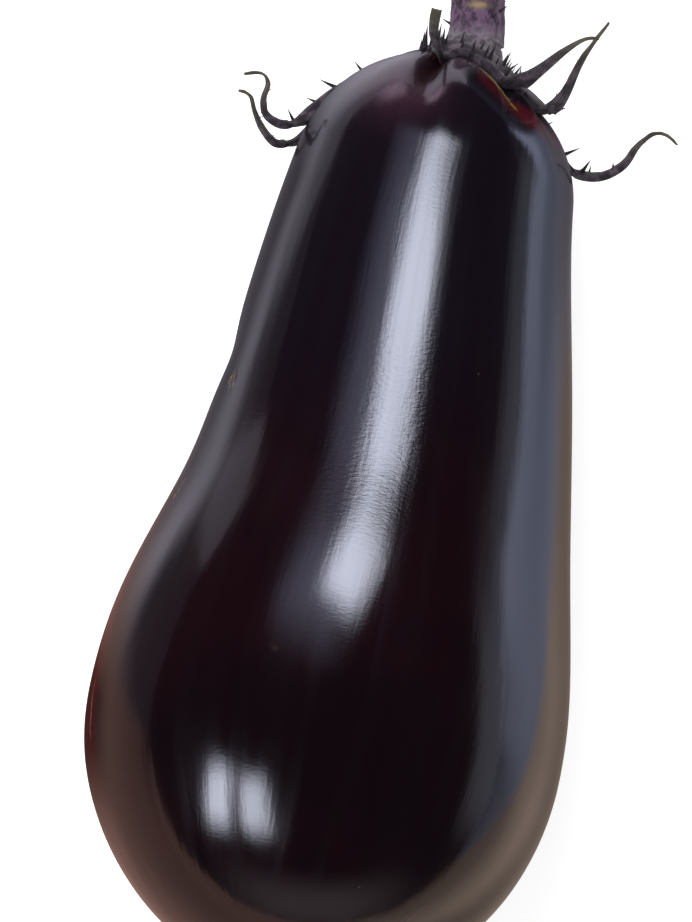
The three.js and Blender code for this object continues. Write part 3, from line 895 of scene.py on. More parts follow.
@dataclass(frozen=True)
class CalyxFinish:
    """Matt felted purple-grey leaf tissue with olive tips and dark prickles."""

    shade: tuple = colour(0.015, 0.008, 0.015)
    felt: tuple = colour(0.22, 0.18, 0.225)
    lilac: tuple = colour(0.092, 0.060, 0.090)
    rib: tuple = colour(0.150, 0.112, 0.148)
    olive: tuple = colour(0.115, 0.105, 0.052)
    prickle_tip: tuple = colour(0.085, 0.078, 0.068)
    felt_scale: float = 520.0
    streak_scale: float = 2.2
    streak_stretch: float = 0.22
    streak_range: tuple[float, float] = (0.46, 0.66)
    rib_highlight_share: float = 0.7
    tip_range: tuple[float, float] = (0.5, 1.0)
    roughness: float = 0.70
    sheen: float = 0.10
    felt_depth: float = 0.00022

    def build(self, shelf: EffectShelf) -> bpy.types.Material:
        """Build the material.

        Args:
            shelf: The shared effects.

        Returns:
            The material.
        """
        material, bench, shader = new_material("Eggplant calyx")
        place = bench.put("ShaderNodeTexCoord").outputs["Object"]
        felt = shelf.use(bench, Group.FELT, {"Vector": place, "Scale": self.felt_scale})
        grain = bench.mask(Mask.GRAIN)
        streaks = shelf.use(bench, Group.STREAKS, {
            "Vector": grain, "Scale": self.streak_scale, "Stretch": self.streak_stretch})
        base = bench.blend(felt.outputs["Tint"], self.shade, self.lilac)
        base = bench.blend(bench.span(streaks.outputs["Wide"], *self.streak_range), base, self.shade)
        # Paler midline of each lobe: partly a paler midrib, partly a painted highlight along the lobe's
        # crest.
        base = bench.blend(bench.math("MULTIPLY", bench.mask(Mask.RIB_AND_HIGHLIGHT), self.rib_highlight_share), base, self.rib)
        matted = bench.span(felt.outputs["Tint"], 0, 1, 0.35, 0.9)
        felted = bench.math("MULTIPLY", bench.mask(Mask.FELT), matted)
        base = bench.blend(felted, base, self.felt)
        tips = bench.math("MULTIPLY", bench.span(bench.mask(Mask.ALONG), *self.tip_range),
                          bench.span(felt.outputs["Tint"], 0.0, 1.0, 0.6, 1.0))
        base = bench.blend(tips, base, self.olive)
        base = bench.blend(bench.span(bench.mask(Mask.PRICKLE), 0.2, 0.5), base, self.shade)
        base = bench.blend(bench.span(bench.mask(Mask.PRICKLE), 0.6, 1.0), base, self.prickle_tip)
        bench.tree.links.new(base, shader.inputs["Base Color"])
        rough = bench.span(streaks.outputs["Narrow"], 0.3, 0.7, self.roughness - 0.12, self.roughness + 0.1)
        bench.tree.links.new(rough, shader.inputs["Roughness"])
        shader.inputs["Sheen Weight"].default_value = self.sheen
        bump = bench.put("ShaderNodeBump", {
            "Strength": 0.8, "Distance": self.felt_depth, "Height": felt.outputs["Height"]})
        bench.tree.links.new(bump.outputs[0], shader.inputs["Normal"])
        return material


@dataclass(frozen=True)
class StemFinish:
    """Matt mauve rind with pale warts, dark streaks, a felted foot and a pale cut end."""

    mauve: tuple = colour(0.145, 0.066, 0.145)
    dark: tuple = colour(0.034, 0.014, 0.038)
    felt: tuple = colour(0.27, 0.235, 0.27)
    wart: tuple = colour(0.25, 0.19, 0.23)
    pith: tuple = colour(0.42, 0.40, 0.22)
    pith_edge: tuple = colour(0.16, 0.15, 0.06)
    scar: tuple = colour(0.36, 0.25, 0.12)
    felt_scale: float = 480.0
    felt_share: float = 0.14
    streak_scale: float = 2.6
    streak_stretch: float = 0.5
    streak_range: tuple[float, float] = (0.40, 0.58)
    wart_scale: float = 0.9
    wart_radius: float = 0.26
    wart_count_share: float = 0.5
    wart_strength: float = 0.7
    pith_range: tuple[float, float] = (0.55, 0.9)
    roughness: float = 0.58
    sheen: float = 0.05
    felt_depth: float = 0.00018

    def build(self, shelf: EffectShelf) -> bpy.types.Material:
        """Build the material.

        Args:
            shelf: The shared effects.

        Returns:
            The material.
        """
        material, bench, shader = new_material("Eggplant stem")
        place = bench.put("ShaderNodeTexCoord").outputs["Object"]
        grain = bench.mask(Mask.GRAIN)
        felt = shelf.use(bench, Group.FELT, {"Vector": place, "Scale": self.felt_scale})
        streaks = shelf.use(bench, Group.STREAKS, {
            "Vector": grain, "Scale": self.streak_scale, "Stretch": self.streak_stretch})
        specks = shelf.use(bench, Group.SPECKS, {
            "Vector": grain, "Scale": self.wart_scale, "Radius": self.wart_radius,
            "Share": self.wart_count_share}).outputs["Speck"]
        base = bench.blend(bench.span(streaks.outputs["Wide"], *self.streak_range), self.dark, self.mauve)
        base = bench.blend(bench.math("MULTIPLY", felt.outputs["Tint"], self.felt_share), base, self.felt)
        base = bench.blend(bench.math("MULTIPLY", specks, self.wart_strength), base, self.wart)
        matted = bench.span(felt.outputs["Tint"], 0, 1, 0.55, 1.0)
        felted = bench.math("MULTIPLY", bench.mask(Mask.FELT), matted)
        base = bench.blend(felted, base, self.felt)
        base = bench.blend(bench.span(bench.mask(Mask.PRICKLE), 0.2, 0.5), base, self.dark)
        base = bench.blend(bench.mask(Mask.SCAR), base, self.scar)
        pith = bench.blend(bench.span(bench.mask(Mask.ALONG), *self.pith_range), self.pith, self.pith_edge)
        base = bench.blend(bench.mask(Mask.CUT), base, pith)
        bench.tree.links.new(base, shader.inputs["Base Color"])
        rough = bench.span(streaks.outputs["Narrow"], 0.3, 0.7, self.roughness - 0.1, self.roughness + 0.15)
        bench.tree.links.new(rough, shader.inputs["Roughness"])
        shader.inputs["Sheen Weight"].default_value = self.sheen
        height = bench.math("ADD", felt.outputs["Height"], bench.math("MULTIPLY", specks, 0.6))
        bump = bench.put("ShaderNodeBump", {"Strength": 0.8, "Distance": self.felt_depth, "Height": height})
        bench.tree.links.new(bump.outputs[0], shader.inputs["Normal"])
        return material


def settle(piece: bpy.types.Object, node: Node, material: bpy.types.Material) -> None:
    """Give a piece its finish and its place in the model.

    Args:
        piece: The piece.
        node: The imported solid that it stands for.
        material: Its material.
    """
    piece.data.materials.append(material)
    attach(piece, BODY)
    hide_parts(node.value)
    log.info("%s: %d points", piece.name, len(piece.data.vertices))


@dataclass(frozen=True)
class Scar:
    """A healed nick of the skin, a lens-shaped cut with a corky lip round it.

    Attributes:
        down: Its distance down from the stem's foot.
        around: Its direction around the fruit.
        length: Its length.
        width: Its width across.
        slant: Degrees that it is turned from lengthwise.
        depth: Depth of the cut.
        lip: Height of the lip.
    """

    down: float
    around: float
    length: float
    width: float
    slant: float
    depth: float
    lip: float


@dataclass
class Fruit:
    """The fruit: one glossy berry."""

    form: SkinForm
    rows: int = 300
    columns: int = 300
    flat_softness: float = 0.3
    swell: Wobble = Wobble(11, 46.0, 0.10, (1.0, 0.45, 1.0))
    ripple: Wobble = Wobble(12, 9.0, 0.012, (1.0, 0.25, 1.0))
    scars: tuple[Scar, ...] = (
        Scar(93.3, 153.0, 2.5, 1.0, 66.0, 0.40, 0.28),
        Scar(95.4, 150.6, 1.1, 0.5, -30.0, 0.16, 0.12),
        Scar(121.2, 158.4, 4.2, 0.75, 6.0, 0.40, 0.22),
        Scar(167.0, 165.4, 9.4, 0.42, 4.0, 0.07, 0.04),
        Scar(81.2, 132.9, 0.5, 0.32, 20.0, 0.05, 0.04),
        Scar(99.5, 108.5, 0.6, 0.3, 0.0, 0.05, 0.04),
        Scar(133.3, 62.0, 0.4, 0.3, 0.0, 0.04, 0.03),
        Scar(157.0, 104.1, 0.5, 0.35, 40.0, 0.05, 0.04),
    )
    lip_reach: float = 1.15
    lip_width: float = 0.35
    cut_width: float = 0.62
    cork_reach: float = 1.5
    cork_full: float = 0.9
    rim_line: tuple[tuple[float, float], ...] = ((15.2, 78.0), (19.8, 67.0), (25.2, 56.5))
    crimson_line: tuple[tuple[float, float], ...] = ((20.5, 72.0), (26.5, 50.0), (27.0, 28.0))
    rim_line_width: float = 0.6
    crimson_width: float = 1.9
    crimson_edge: float = 1.6
    hidden_blush: float = 0.4
    pink_spot: tuple[float, float, float, float] = (30.0, 112.0, 7.5, 17.0)
    # Spot of painted shade in the notch under the front lobe.
    shaded_crease_spot: tuple[float, float, float, float] = (19.5, 107.0, 8.5, 8.0)
    shaded_crease_strength: float = 1.7
    red_side_around: tuple[float, float, float, float] = (157.0, 170.0, 190.0, 216.0)
    red_side_station: float = 52.0
    red_side_reach: float = 25.0
    wrinkle_around: float = 88.0
    wrinkle_spread: float = 24.0
    wrinkle_station: float = 98.0
    wrinkle_reach: float = 26.0
    calm_reach: tuple[float, float] = (4.0, 24.0)
    blossom_scar: tuple[float, float] = (1.4, 2.6)
    shoulder_radius: float = 25.0
    detail_around: float = 155.0
    detail_spread: float = 14.0
    detail_share: float = 3.0
    grain_radius: float = 42.0

    def columns_at(self) -> np.ndarray:
        """Return the directions of the columns, which stand closer where the scars are."""
        fine = np.linspace(0, 360, 2000)
        density = 1 + self.detail_share * bell((fine - self.detail_around) / self.detail_spread)
        total = np.concatenate([[0], np.cumsum((density[1:] + density[:-1]) / 2)])
        shares = np.arange(self.columns) / self.columns * total[-1]
        return np.interp(shares, total, fine)

    def scar_relief(self, down: np.ndarray, around: np.ndarray) -> tuple[np.ndarray, np.ndarray]:
        """Find the height and the cover of the scars.

        Args:
            down: Distances down from the stem's foot.
            around: Directions around the fruit.

        Returns:
            Heights over the skin, and how corky the skin is from 0 to 1.
        """
        height = np.zeros_like(down)
        cover = np.zeros_like(down)
        for scar in self.scars:
            station = self.form.station_at(self.form.turn_at(np.array(scar.down)))
            radius = float(self.form.along(self.form.half_widths, station))
            across = np.radians(swing(scar.around, around)) * radius
            along = down - scar.down
            slant = math.radians(scar.slant)
            length = (along * math.cos(slant) + across * math.sin(slant)) / (scar.length / 2)
            width = (across * math.cos(slant) - along * math.sin(slant)) / (scar.width / 2)
            reach = np.hypot(length, width)
            height += scar.lip * bell((reach - self.lip_reach) / self.lip_width)
            height -= scar.depth * bell(reach / self.cut_width)
            cover = np.maximum(cover, smoothstep(-reach, -self.cork_reach, -self.cork_full))
        return height, cover

    def masks(self, down: np.ndarray, around: np.ndarray) -> dict[Mask, np.ndarray]:
        """Find where the skin is tinted.

        Args:
            down: Distances down from the stem's foot.
            around: Directions around the fruit.

        Returns:
            Values by mask.
        """
        form = self.form
        angle = np.radians(around)
        radius = self.grain_radius
        grain = np.stack([radius * np.cos(angle), radius * np.sin(angle), down], axis=-1)
        line = 1.1 * bell(self.off_path(self.rim_line, down, around) / self.rim_line_width)
        off_crimson = np.maximum(self.off_path(self.crimson_line, down, around) - self.crimson_width, 0)
        crimson = bell(off_crimson / self.crimson_edge)
        hidden = bell((down - form.rim_down - 1.5) / 2.5) * self.hidden_blush
        pink = bell(np.hypot(*self.off_spot(self.pink_spot, down, around)))
        # The notch under the front lobe, kept dark as painted shade.
        along, across = self.off_spot(self.shaded_crease_spot, down, around)
        crease = bell(along) * bell(across)
        station = form.station_at(form.turn_at(down))
        starts, full, fades, ends = self.red_side_around
        red_side = smoothstep(around, starts, full) * smoothstep(-around, -ends, -fades)
        red_side = red_side * bell((station - self.red_side_station) / self.red_side_reach)
        wrinkle = bell(swing(self.wrinkle_around, around) / self.wrinkle_spread)
        wrinkle = wrinkle * bell((station - self.wrinkle_station) / self.wrinkle_reach)
        return {Mask.GRAIN: grain, Mask.BLUSH: np.maximum(crimson, hidden),
                Mask.RIM_LINE: np.minimum(line, 1), Mask.PINK: pink, Mask.RED_SIDE: red_side,
                Mask.WRINKLE: wrinkle, Mask.SHADED_CREASE: np.minimum(self.shaded_crease_strength * crease, 1)}

    def off_spot(self, spot: tuple[float, float, float, float], down: np.ndarray,
                 around: np.ndarray) -> tuple[np.ndarray, np.ndarray]:
        """Find how far places are from a spot on the skin, in shares of its reach.

        Args:
            spot: Down and around of its middle, and its reach down and around.
            down: Distances down from the stem's foot.
            around: Directions around the fruit.

        Returns:
            Shares of the reach down and of the reach around.
        """
        spot_down, spot_around, reach_down, reach_around = spot
        return (down - spot_down) / reach_down, swing(spot_around, around) / reach_around

    def off_path(self, path: tuple[tuple[float, float], ...], down: np.ndarray,
                 around: np.ndarray) -> np.ndarray:
        """Find how far places on the shoulder are from a path over the skin.

        Args:
            path: Down and around of the path's corners.
            down: Distances down from the stem's foot.
            around: Directions around the fruit.

        Returns:
            Distances in millimetres.
        """
        degree = math.radians(1) * self.shoulder_radius
        nearest = np.full(down.shape, 1e3)
        for (down_a, around_a), (down_b, around_b) in zip(path, path[1:]):
            across = swing(around_a, around) * degree
            reach = (around_b - around_a) * degree
            fall = down_b - down_a
            share = ((down - down_a) * fall + across * reach) / (fall**2 + reach**2)
            share = np.clip(share, 0, 1)
            gap = np.hypot(down - down_a - share * fall, across - share * reach)
            nearest = np.minimum(nearest, gap)
        return nearest

    def build(self, material: bpy.types.Material) -> bpy.types.Object:
        """Make the fruit.

        Args:
            material: Its finish.

        Returns:
            The piece.
        """
        form = self.form
        turn = np.linspace(0, math.pi, self.rows + 1)[1:-1]
        down, around = np.meshgrid(form.down_at(turn), self.columns_at(), indexing="ij")
        plain = form.over(down, around)
        scar_height, cover = self.scar_relief(down, around)
        detail = self.swell.at(plain) + self.ripple.at(plain) + scar_height
        calm_from, calm_to = self.calm_reach
        calm = smoothstep(down, form.rim_down + calm_from, form.rim_down + calm_to)
        places = plain + (detail * calm)[..., None] * form.normal(form.turn_at(down), around)
        places[..., 2] = (places[..., 2] + np.hypot(places[..., 2], self.flat_softness)) / 2
        masks = self.masks(down, around)
        scar_inner, scar_outer = self.blossom_scar
        blossom = smoothstep(down - form.skin_length, -scar_outer, -scar_inner)
        masks[Mask.SCAR] = np.maximum(cover, blossom)
        maker = MeshMaker()
        grid = maker.points(places, masks)
        maker.sheet(grid, closed=True)
        tip = form.over(np.array(form.skin_length), np.array(0.0))
        maker.fan(grid[0], int(maker.points(tip, {Mask.SCAR: np.array(1.0)})))
        maker.fan(grid[-1], int(maker.points(form.stem_foot)))
        piece = maker.build("fruit_skin")
        settle(piece, Node.FRUIT, material)
        return piece


@dataclass
class Calyx:
    """The calyx: a felted cap with eight curling lobes and its prickles."""

    form: SkinForm
    thorns: Thorns = Thorns()
    skin_gap: float = 0.55
    seat: float = 0.05
    sinus_swing: float = 2.2
    wide_sinus_swing: float = 5.5
    flare_length: float = 6.5
    rim_thickness: float = 1.4
    blade_thickness: float = 1.6
    edge_thickness: float = 0.8
    tip_thickness: float = 0.45
    blade_taper: float = 1.7
    rolled_edge: float = 0.22
    midrib: float = 0.30
    edge_wave: float = 0.10
    collar_rings: tuple[tuple[float, float], ...] = ((4.9, 6.2), (5.7, 5.9), (6.2, 4.6), (6.9, 3.5))
    cap_ring: tuple[float, float] = (0.5, 3.2)
    lining_rings: tuple[float, ...] = (0.27, 0.64)
    columns: int = 12
    rows_a_span: int = 6
    flare_rows: tuple[float, ...] = (0.0, 0.05, 0.12, 0.2, 0.34, 0.5, 0.75)
    cap_steps: int = 4
    cap_unevenness: float = 1.6
    cap_grain_radius: float = 8.0
    edge_waves: float = 17.0
    rib_spread: float = 0.22
    side_rib_place: float = 0.55
    side_rib_spread: float = 0.12
    free_lift: float = 3.0
    seed: int = 29
    collar_prickles: int = 34
    collar_span: tuple[float, float] = (7.0, 10.0)
    collar_shortest: float = 2.2
    collar_lean: tuple[float, float] = (-0.2, 0.9)
    cap_spikes: tuple[tuple[float, float, float, float], ...] = (
        (9.6, 132, 4.8, 0.5), (10.4, 146, 4.4, 0.2), (9.0, 124, 3.6, 0.9), (9.8, 158, 3.8, 0.3),
        (9.4, 66, 4.8, 0.5), (10.4, 74, 3.6, 0.3), (9.6, 46, 4.4, 0.4), (10.2, 88, 3.0, 0.7))
    unevenness: Wobble = Wobble(31, 2.6, 0.10)
    creases: Wobble = Wobble(32, 1.3, 0.05)

    def half_sector(self, index: int, side: int) -> float:
        """Return half of a lobe's sector, in degrees, towards its neighbour on one side."""
        neighbour = LOBES[(index + side) % len(LOBES)]
        return abs(float(swing(LOBES[index].around, neighbour.around))) / 2

    def sinus_shift(self, index: int, side: int) -> float:
        """Return how much higher than the rim a sinus lies: wide ones bite further up."""
        even = self.form.even_sector
        gap = 2 * self.half_sector(index, side)
        most = self.wide_sinus_swing if gap > even else self.sinus_swing
        return most * (even - gap) / even

    def midline(self, lobe: Lobe, shares: np.ndarray) -> np.ndarray:
        """Return down, around and lift of a lobe's midline at shares of its length."""
        points = np.array(lobe.path) + np.array([0, 0, self.skin_gap])
        return smooth_curve(points, shares)

    def lobe_frame(self, lobe: Lobe, shares: np.ndarray) -> tuple[np.ndarray, ...]:
        """Set up frames along a lobe's midline.

        Args:
            lobe: The lobe.
            shares: Shares of its length.

        Returns:
            Midline values, midline places, ways across, ways out of the upper face, and how free
            of the skin it is.
        """
        def locate(at: np.ndarray) -> np.ndarray:
            """Return places on the midline."""
            down, around, lift = self.midline(lobe, at).T
            return self.form.over(down, around, np.maximum(lift, self.skin_gap))

        middle = self.midline(lobe, shares)
        down, around, lift = middle.T
        along = unit(locate(shares + 0.02) - locate(shares - 0.02))
        across = self.form.over(down, around + 1, lift) - self.form.over(down, around - 1, lift)
        across = unit(across - (across * along).sum(axis=-1, keepdims=True) * along)
        free = smoothstep(lift - self.skin_gap, 0.1, self.free_lift)
        across = turned(across, along, (-lobe.twist * free)[:, None])
        return middle, locate(shares), across, np.cross(across, along), free

    def lobe_rows(self, index: int, shares: np.ndarray) -> tuple[np.ndarray, np.ndarray, dict, dict]:
        """Lay out the two faces of a lobe.

        Args:
            index: Which lobe.
            shares: Shares of its length that get a row.

        Returns:
            Places of its outer and its inner face, and the masks of each.
        """
        lobe = LOBES[index]
        middle, centre, across, out, free = self.lobe_frame(lobe, shares)
        down, around, lift = (values[:, None] for values in middle.T)
        share = shares[:, None]
        free = free[:, None]
        lift = np.maximum(lift, self.skin_gap)
        travelled = np.maximum(down - self.form.rim_down, np.where(lift > 1, self.flare_length, 0.0))
        flared = np.clip(travelled / self.flare_length, 0, 1)
        flare = 1 - np.sqrt(flared * (2 - flared))
        thinning = smoothstep(share, 0.4, 1)
        full = lerp(lerp(self.blade_thickness, self.rim_thickness, flare), self.tip_thickness, thinning)
        edge = lerp(lerp(self.edge_thickness, self.rim_thickness, flare), self.tip_thickness, thinning)
        blade_half = lerp(lobe.tip_half_width, lobe.half_width, (1 - share) ** self.blade_taper)
        per_degree = np.linalg.norm(
            self.form.over(down, around + 1) - self.form.over(down, around - 1), axis=-1) / 2
        u = (2 * np.arange(self.columns + 1) / self.columns - 1)[None]
        sides = [self.half_sector(index, -1), self.half_sector(index, 1)]
        shifts = [self.sinus_shift(index, -1), self.sinus_shift(index, 1)]
        sector_half = np.where(u < 0, *sides) * per_degree
        wave = 1 + self.edge_wave * (1 - flare) * np.sin(self.edge_waves * share + 2.4 * index + np.sign(u))
        reach = u * lerp(blade_half * wave, sector_half, flare)
        shift = np.where(u < 0, *shifts) * np.abs(u) * flare
        rolled = self.rolled_edge * np.abs(reach) * u**2 * free
        flat = centre[:, None] + reach[..., None] * across[:, None] + rolled[..., None] * out[:, None]

        rib = bell(u / self.rib_spread) * (1 - 0.6 * share) * (1 - flare)
        side_rib = bell((np.abs(u) - self.side_rib_place) / self.side_rib_spread)
        side_rib = 0.5 * side_rib * (1 - share) * (1 - flare)
        thickness = lerp(full, edge, u**2)
        rough = self.unevenness.at(flat) + self.creases.at(flat)
        upper = thickness + self.midrib * (rib + side_rib) + rough * np.minimum(share * 8, 1)
        direction = around + reach / per_degree
        free_face = free[..., None]
        inner_hug = self.form.over(down + shift, direction, np.where(lift > 1, lift, self.seat))
        outer_hug = self.form.over(down + shift, direction, lift + upper)
        inner = lerp(inner_hug, flat, free_face)
        outer = lerp(outer_hug, flat + upper[..., None] * out[:, None], free_face)

        grain = np.stack(np.broadcast_arrays(reach, 0 * reach + 10 * index, down + 0.6 * lift), axis=-1)
        # The rib mask pales the lobe's midline: partly a paler midrib, partly a painted highlight along its
        # crest.
        masks = {Mask.GRAIN: grain, Mask.ALONG: share + 0 * reach,
                 Mask.RIB_AND_HIGHLIGHT: rib + 0 * reach, Mask.FELT: 0.3 * (1 - share) * (1 - np.abs(u)) + 0 * reach}
        under = {Mask.GRAIN: grain, Mask.ALONG: masks[Mask.ALONG], Mask.FELT: 0.2 + 0 * reach}
        return outer, inner, masks, under

    def lobe_shares(self, lobe: Lobe) -> np.ndarray:
        """Return the shares of a lobe's length that get a row, close together by the rim."""
        spans = len(lobe.path) - 1
        first_span = (lobe.path[1][0] - self.form.rim_down) * spans
        near = np.array(self.flare_rows) * self.flare_length / first_span
        rows = spans * self.rows_a_span
        far = np.arange(1, rows + 1) / rows
        return np.concatenate([near, far[far > near[-1] + 0.4 / rows]])

    def cap_directions(self) -> tuple[np.ndarray, np.ndarray]:
        """Return the direction and the sinus shift of each column of the cap."""
        around = []
        shift = []
        for index, lobe in enumerate(LOBES):
            for column in range(self.columns):
                u = 2 * column / self.columns - 1
                side = -1 if u < 0 else 1
                around.append(lobe.path[0][1] + u * self.half_sector(index, side))
                shift.append(self.sinus_shift(index, side) * abs(u))
        return np.array(around), np.array(shift)

    def add_cap(self, maker: MeshMaker, outer_rim: np.ndarray, inner_rim: np.ndarray) -> tuple:
        """Add the cap between the collar and the rim.

        Args:
            maker: The piece.
            outer_rim: Places of the rim's upper edge.
            inner_rim: Places of its lower edge.

        Returns:
            The numbers of the two rims' points.
        """
        form = self.form
        around, shift = self.cap_directions()
        rings = [form.beside_stem(np.full_like(around, height), np.full_like(around, radius), around)
                 for radius, height in self.collar_rings]
        share, lift = self.cap_ring
        rim = form.rim_down + shift
        rings.append(form.over(lerp(self.collar_rings[-1][0], rim, share), around, lift))
        rings.append(outer_rim)
        stack = np.array(rings)
        steps = (len(rings) - 1) * self.cap_steps
        shares = np.linspace(0, 1, steps + 1)
        outer = smooth_curve(stack.reshape(len(rings), -1), shares).reshape(steps + 1, -1, 3)
        away = unit(outer - form.stem_foot + 2 * form.stem_way)
        amount = self.cap_unevenness * np.sin(math.pi * shares)[:, None]
        outer += ((self.unevenness.at(outer) + self.creases.at(outer)) * amount)[..., None] * away
        angle = np.radians(around)[None] + 0 * shares[:, None]
        radius = self.cap_grain_radius
        grain = np.stack([radius * np.cos(angle), radius * np.sin(angle),
                          form.rim_down * shares[:, None] + 0 * angle], axis=-1)
        felt = 1 - 0.75 * smoothstep(shares, 0.35, 0.95)[:, None] + 0 * angle
        grid = maker.points(outer, {Mask.GRAIN: grain, Mask.FELT: felt})
        maker.sheet(grid, closed=True)
        middle = form.beside_stem(np.array(self.collar_rings[0][1] - 0.2), np.array(0.0), np.array(0.0))
        maker.fan(grid[0], int(maker.points(middle, {Mask.FELT: np.array(1.0)})))
        lining = [form.over(share * rim, around, self.seat) for share in self.lining_rings]
        inner = maker.points(np.array([*lining, inner_rim]))
        maker.sheet(inner, closed=True)
        foot = form.beside_stem(np.array(self.seat), np.array(0.0), np.array(0.0))
        maker.fan(inner[0], int(maker.points(foot)))
        return grid[-1], inner[-1]

    def add_prickles(self, maker: MeshMaker) -> None:
        """Grow the prickles of the lobes and of the cap."""
        draw = np.random.default_rng(self.seed)
        for lobe in LOBES:
            count = lobe.prickles * 2
            # Small ones stand all over a lobe, and long ones at set places
            shares = lerp(0.04, 0.8, (np.arange(count) + 0.6 * draw.random(count)) / count)
            places = []
            for k, share in enumerate(shares):
                sideways = (1 if k % 2 else -1) * draw.uniform(0.2, 1.0)
                length = draw.uniform(*self.thorns.lengths) * lerp(0.6, 0.3, share)
                places.append((share, sideways, length, 0.8 * sideways, draw.uniform(0, 0.5)))
            places.extend(lobe.spikes)
            shares = np.array([place[0] for place in places])
            _, centre, across, out, _ = self.lobe_frame(lobe, shares)
            for k, (share, sideways, length, lean, forward) in enumerate(places):
                thick = lerp(self.blade_thickness, self.tip_thickness, share) - 0.15
                reach = 0.6 * sideways * lobe.half_width * (1 - share)
                root = centre[k] + reach * across[k] + thick * (1 - 0.6 * sideways**2) * out[k]
                along = np.cross(out[k], across[k])
                self.thorns.add(maker, root, out[k] + lean * across[k] + forward * along, length)
        for k in range(self.collar_prickles):
            around = np.array(360 * (k + 0.7 * draw.random()) / self.collar_prickles)
            down = np.array(draw.uniform(*self.collar_span))
            root = self.form.over(down, around, 2.0)
            outward = self.form.over(down, around, 3.0) - root
            way = outward + self.form.stem_way * draw.uniform(*self.collar_lean)
            self.thorns.add(maker, root, way, draw.uniform(self.collar_shortest, self.thorns.lengths[1]))
        for down, around, length, forward in self.cap_spikes:
            root = self.form.over(np.array(down), np.array(around), 1.8)
            above = self.form.over(np.array(down), np.array(around), 2.8)
            self.thorns.add(maker, root, above - root + forward * self.form.stem_way, length)

    def build(self, material: bpy.types.Material) -> bpy.types.Object:
        """Make the calyx.

        Args:
            material: Its finish.

        Returns:
            The piece.
        """
        maker = MeshMaker()
        faces = [self.lobe_rows(index, self.lobe_shares(lobe)) for index, lobe in enumerate(LOBES)]
        outer_rim = np.concatenate([outer[0, :-1] for outer, _, _, _ in faces])
        inner_rim = np.concatenate([inner[0, :-1] for _, inner, _, _ in faces])
        outer_ring, inner_ring = self.add_cap(maker, outer_rim, inner_rim)
        for index, (outer, inner, masks, under) in enumerate(faces):
            corners = (index * self.columns + np.arange(self.columns + 1)) % len(outer_ring)
            upper = maker.points(outer[1:], {mask: values[1:] for mask, values in masks.items()})
            lower = maker.points(inner[1:], {mask: values[1:] for mask, values in under.items()})
            upper = np.concatenate([outer_ring[corners][None], upper])
            lower = np.concatenate([inner_ring[corners][None], lower])
            maker.sheet(upper)
            maker.sheet(lower)
            maker.sheet(np.stack([upper[:, 0], lower[:, 0]], axis=1))
            maker.sheet(np.stack([upper[:, -1], lower[:, -1]], axis=1))
            maker.sheet(np.stack([upper[-1], lower[-1]]))
        self.add_prickles(maker)
        piece = maker.build("calyx_leaf")
        rounding = piece.modifiers.new("Rounded edges", "SUBSURF")
        rounding.levels = 1
        rounding.render_levels = 1
        settle(piece, Node.CALYX, material)
        return piece


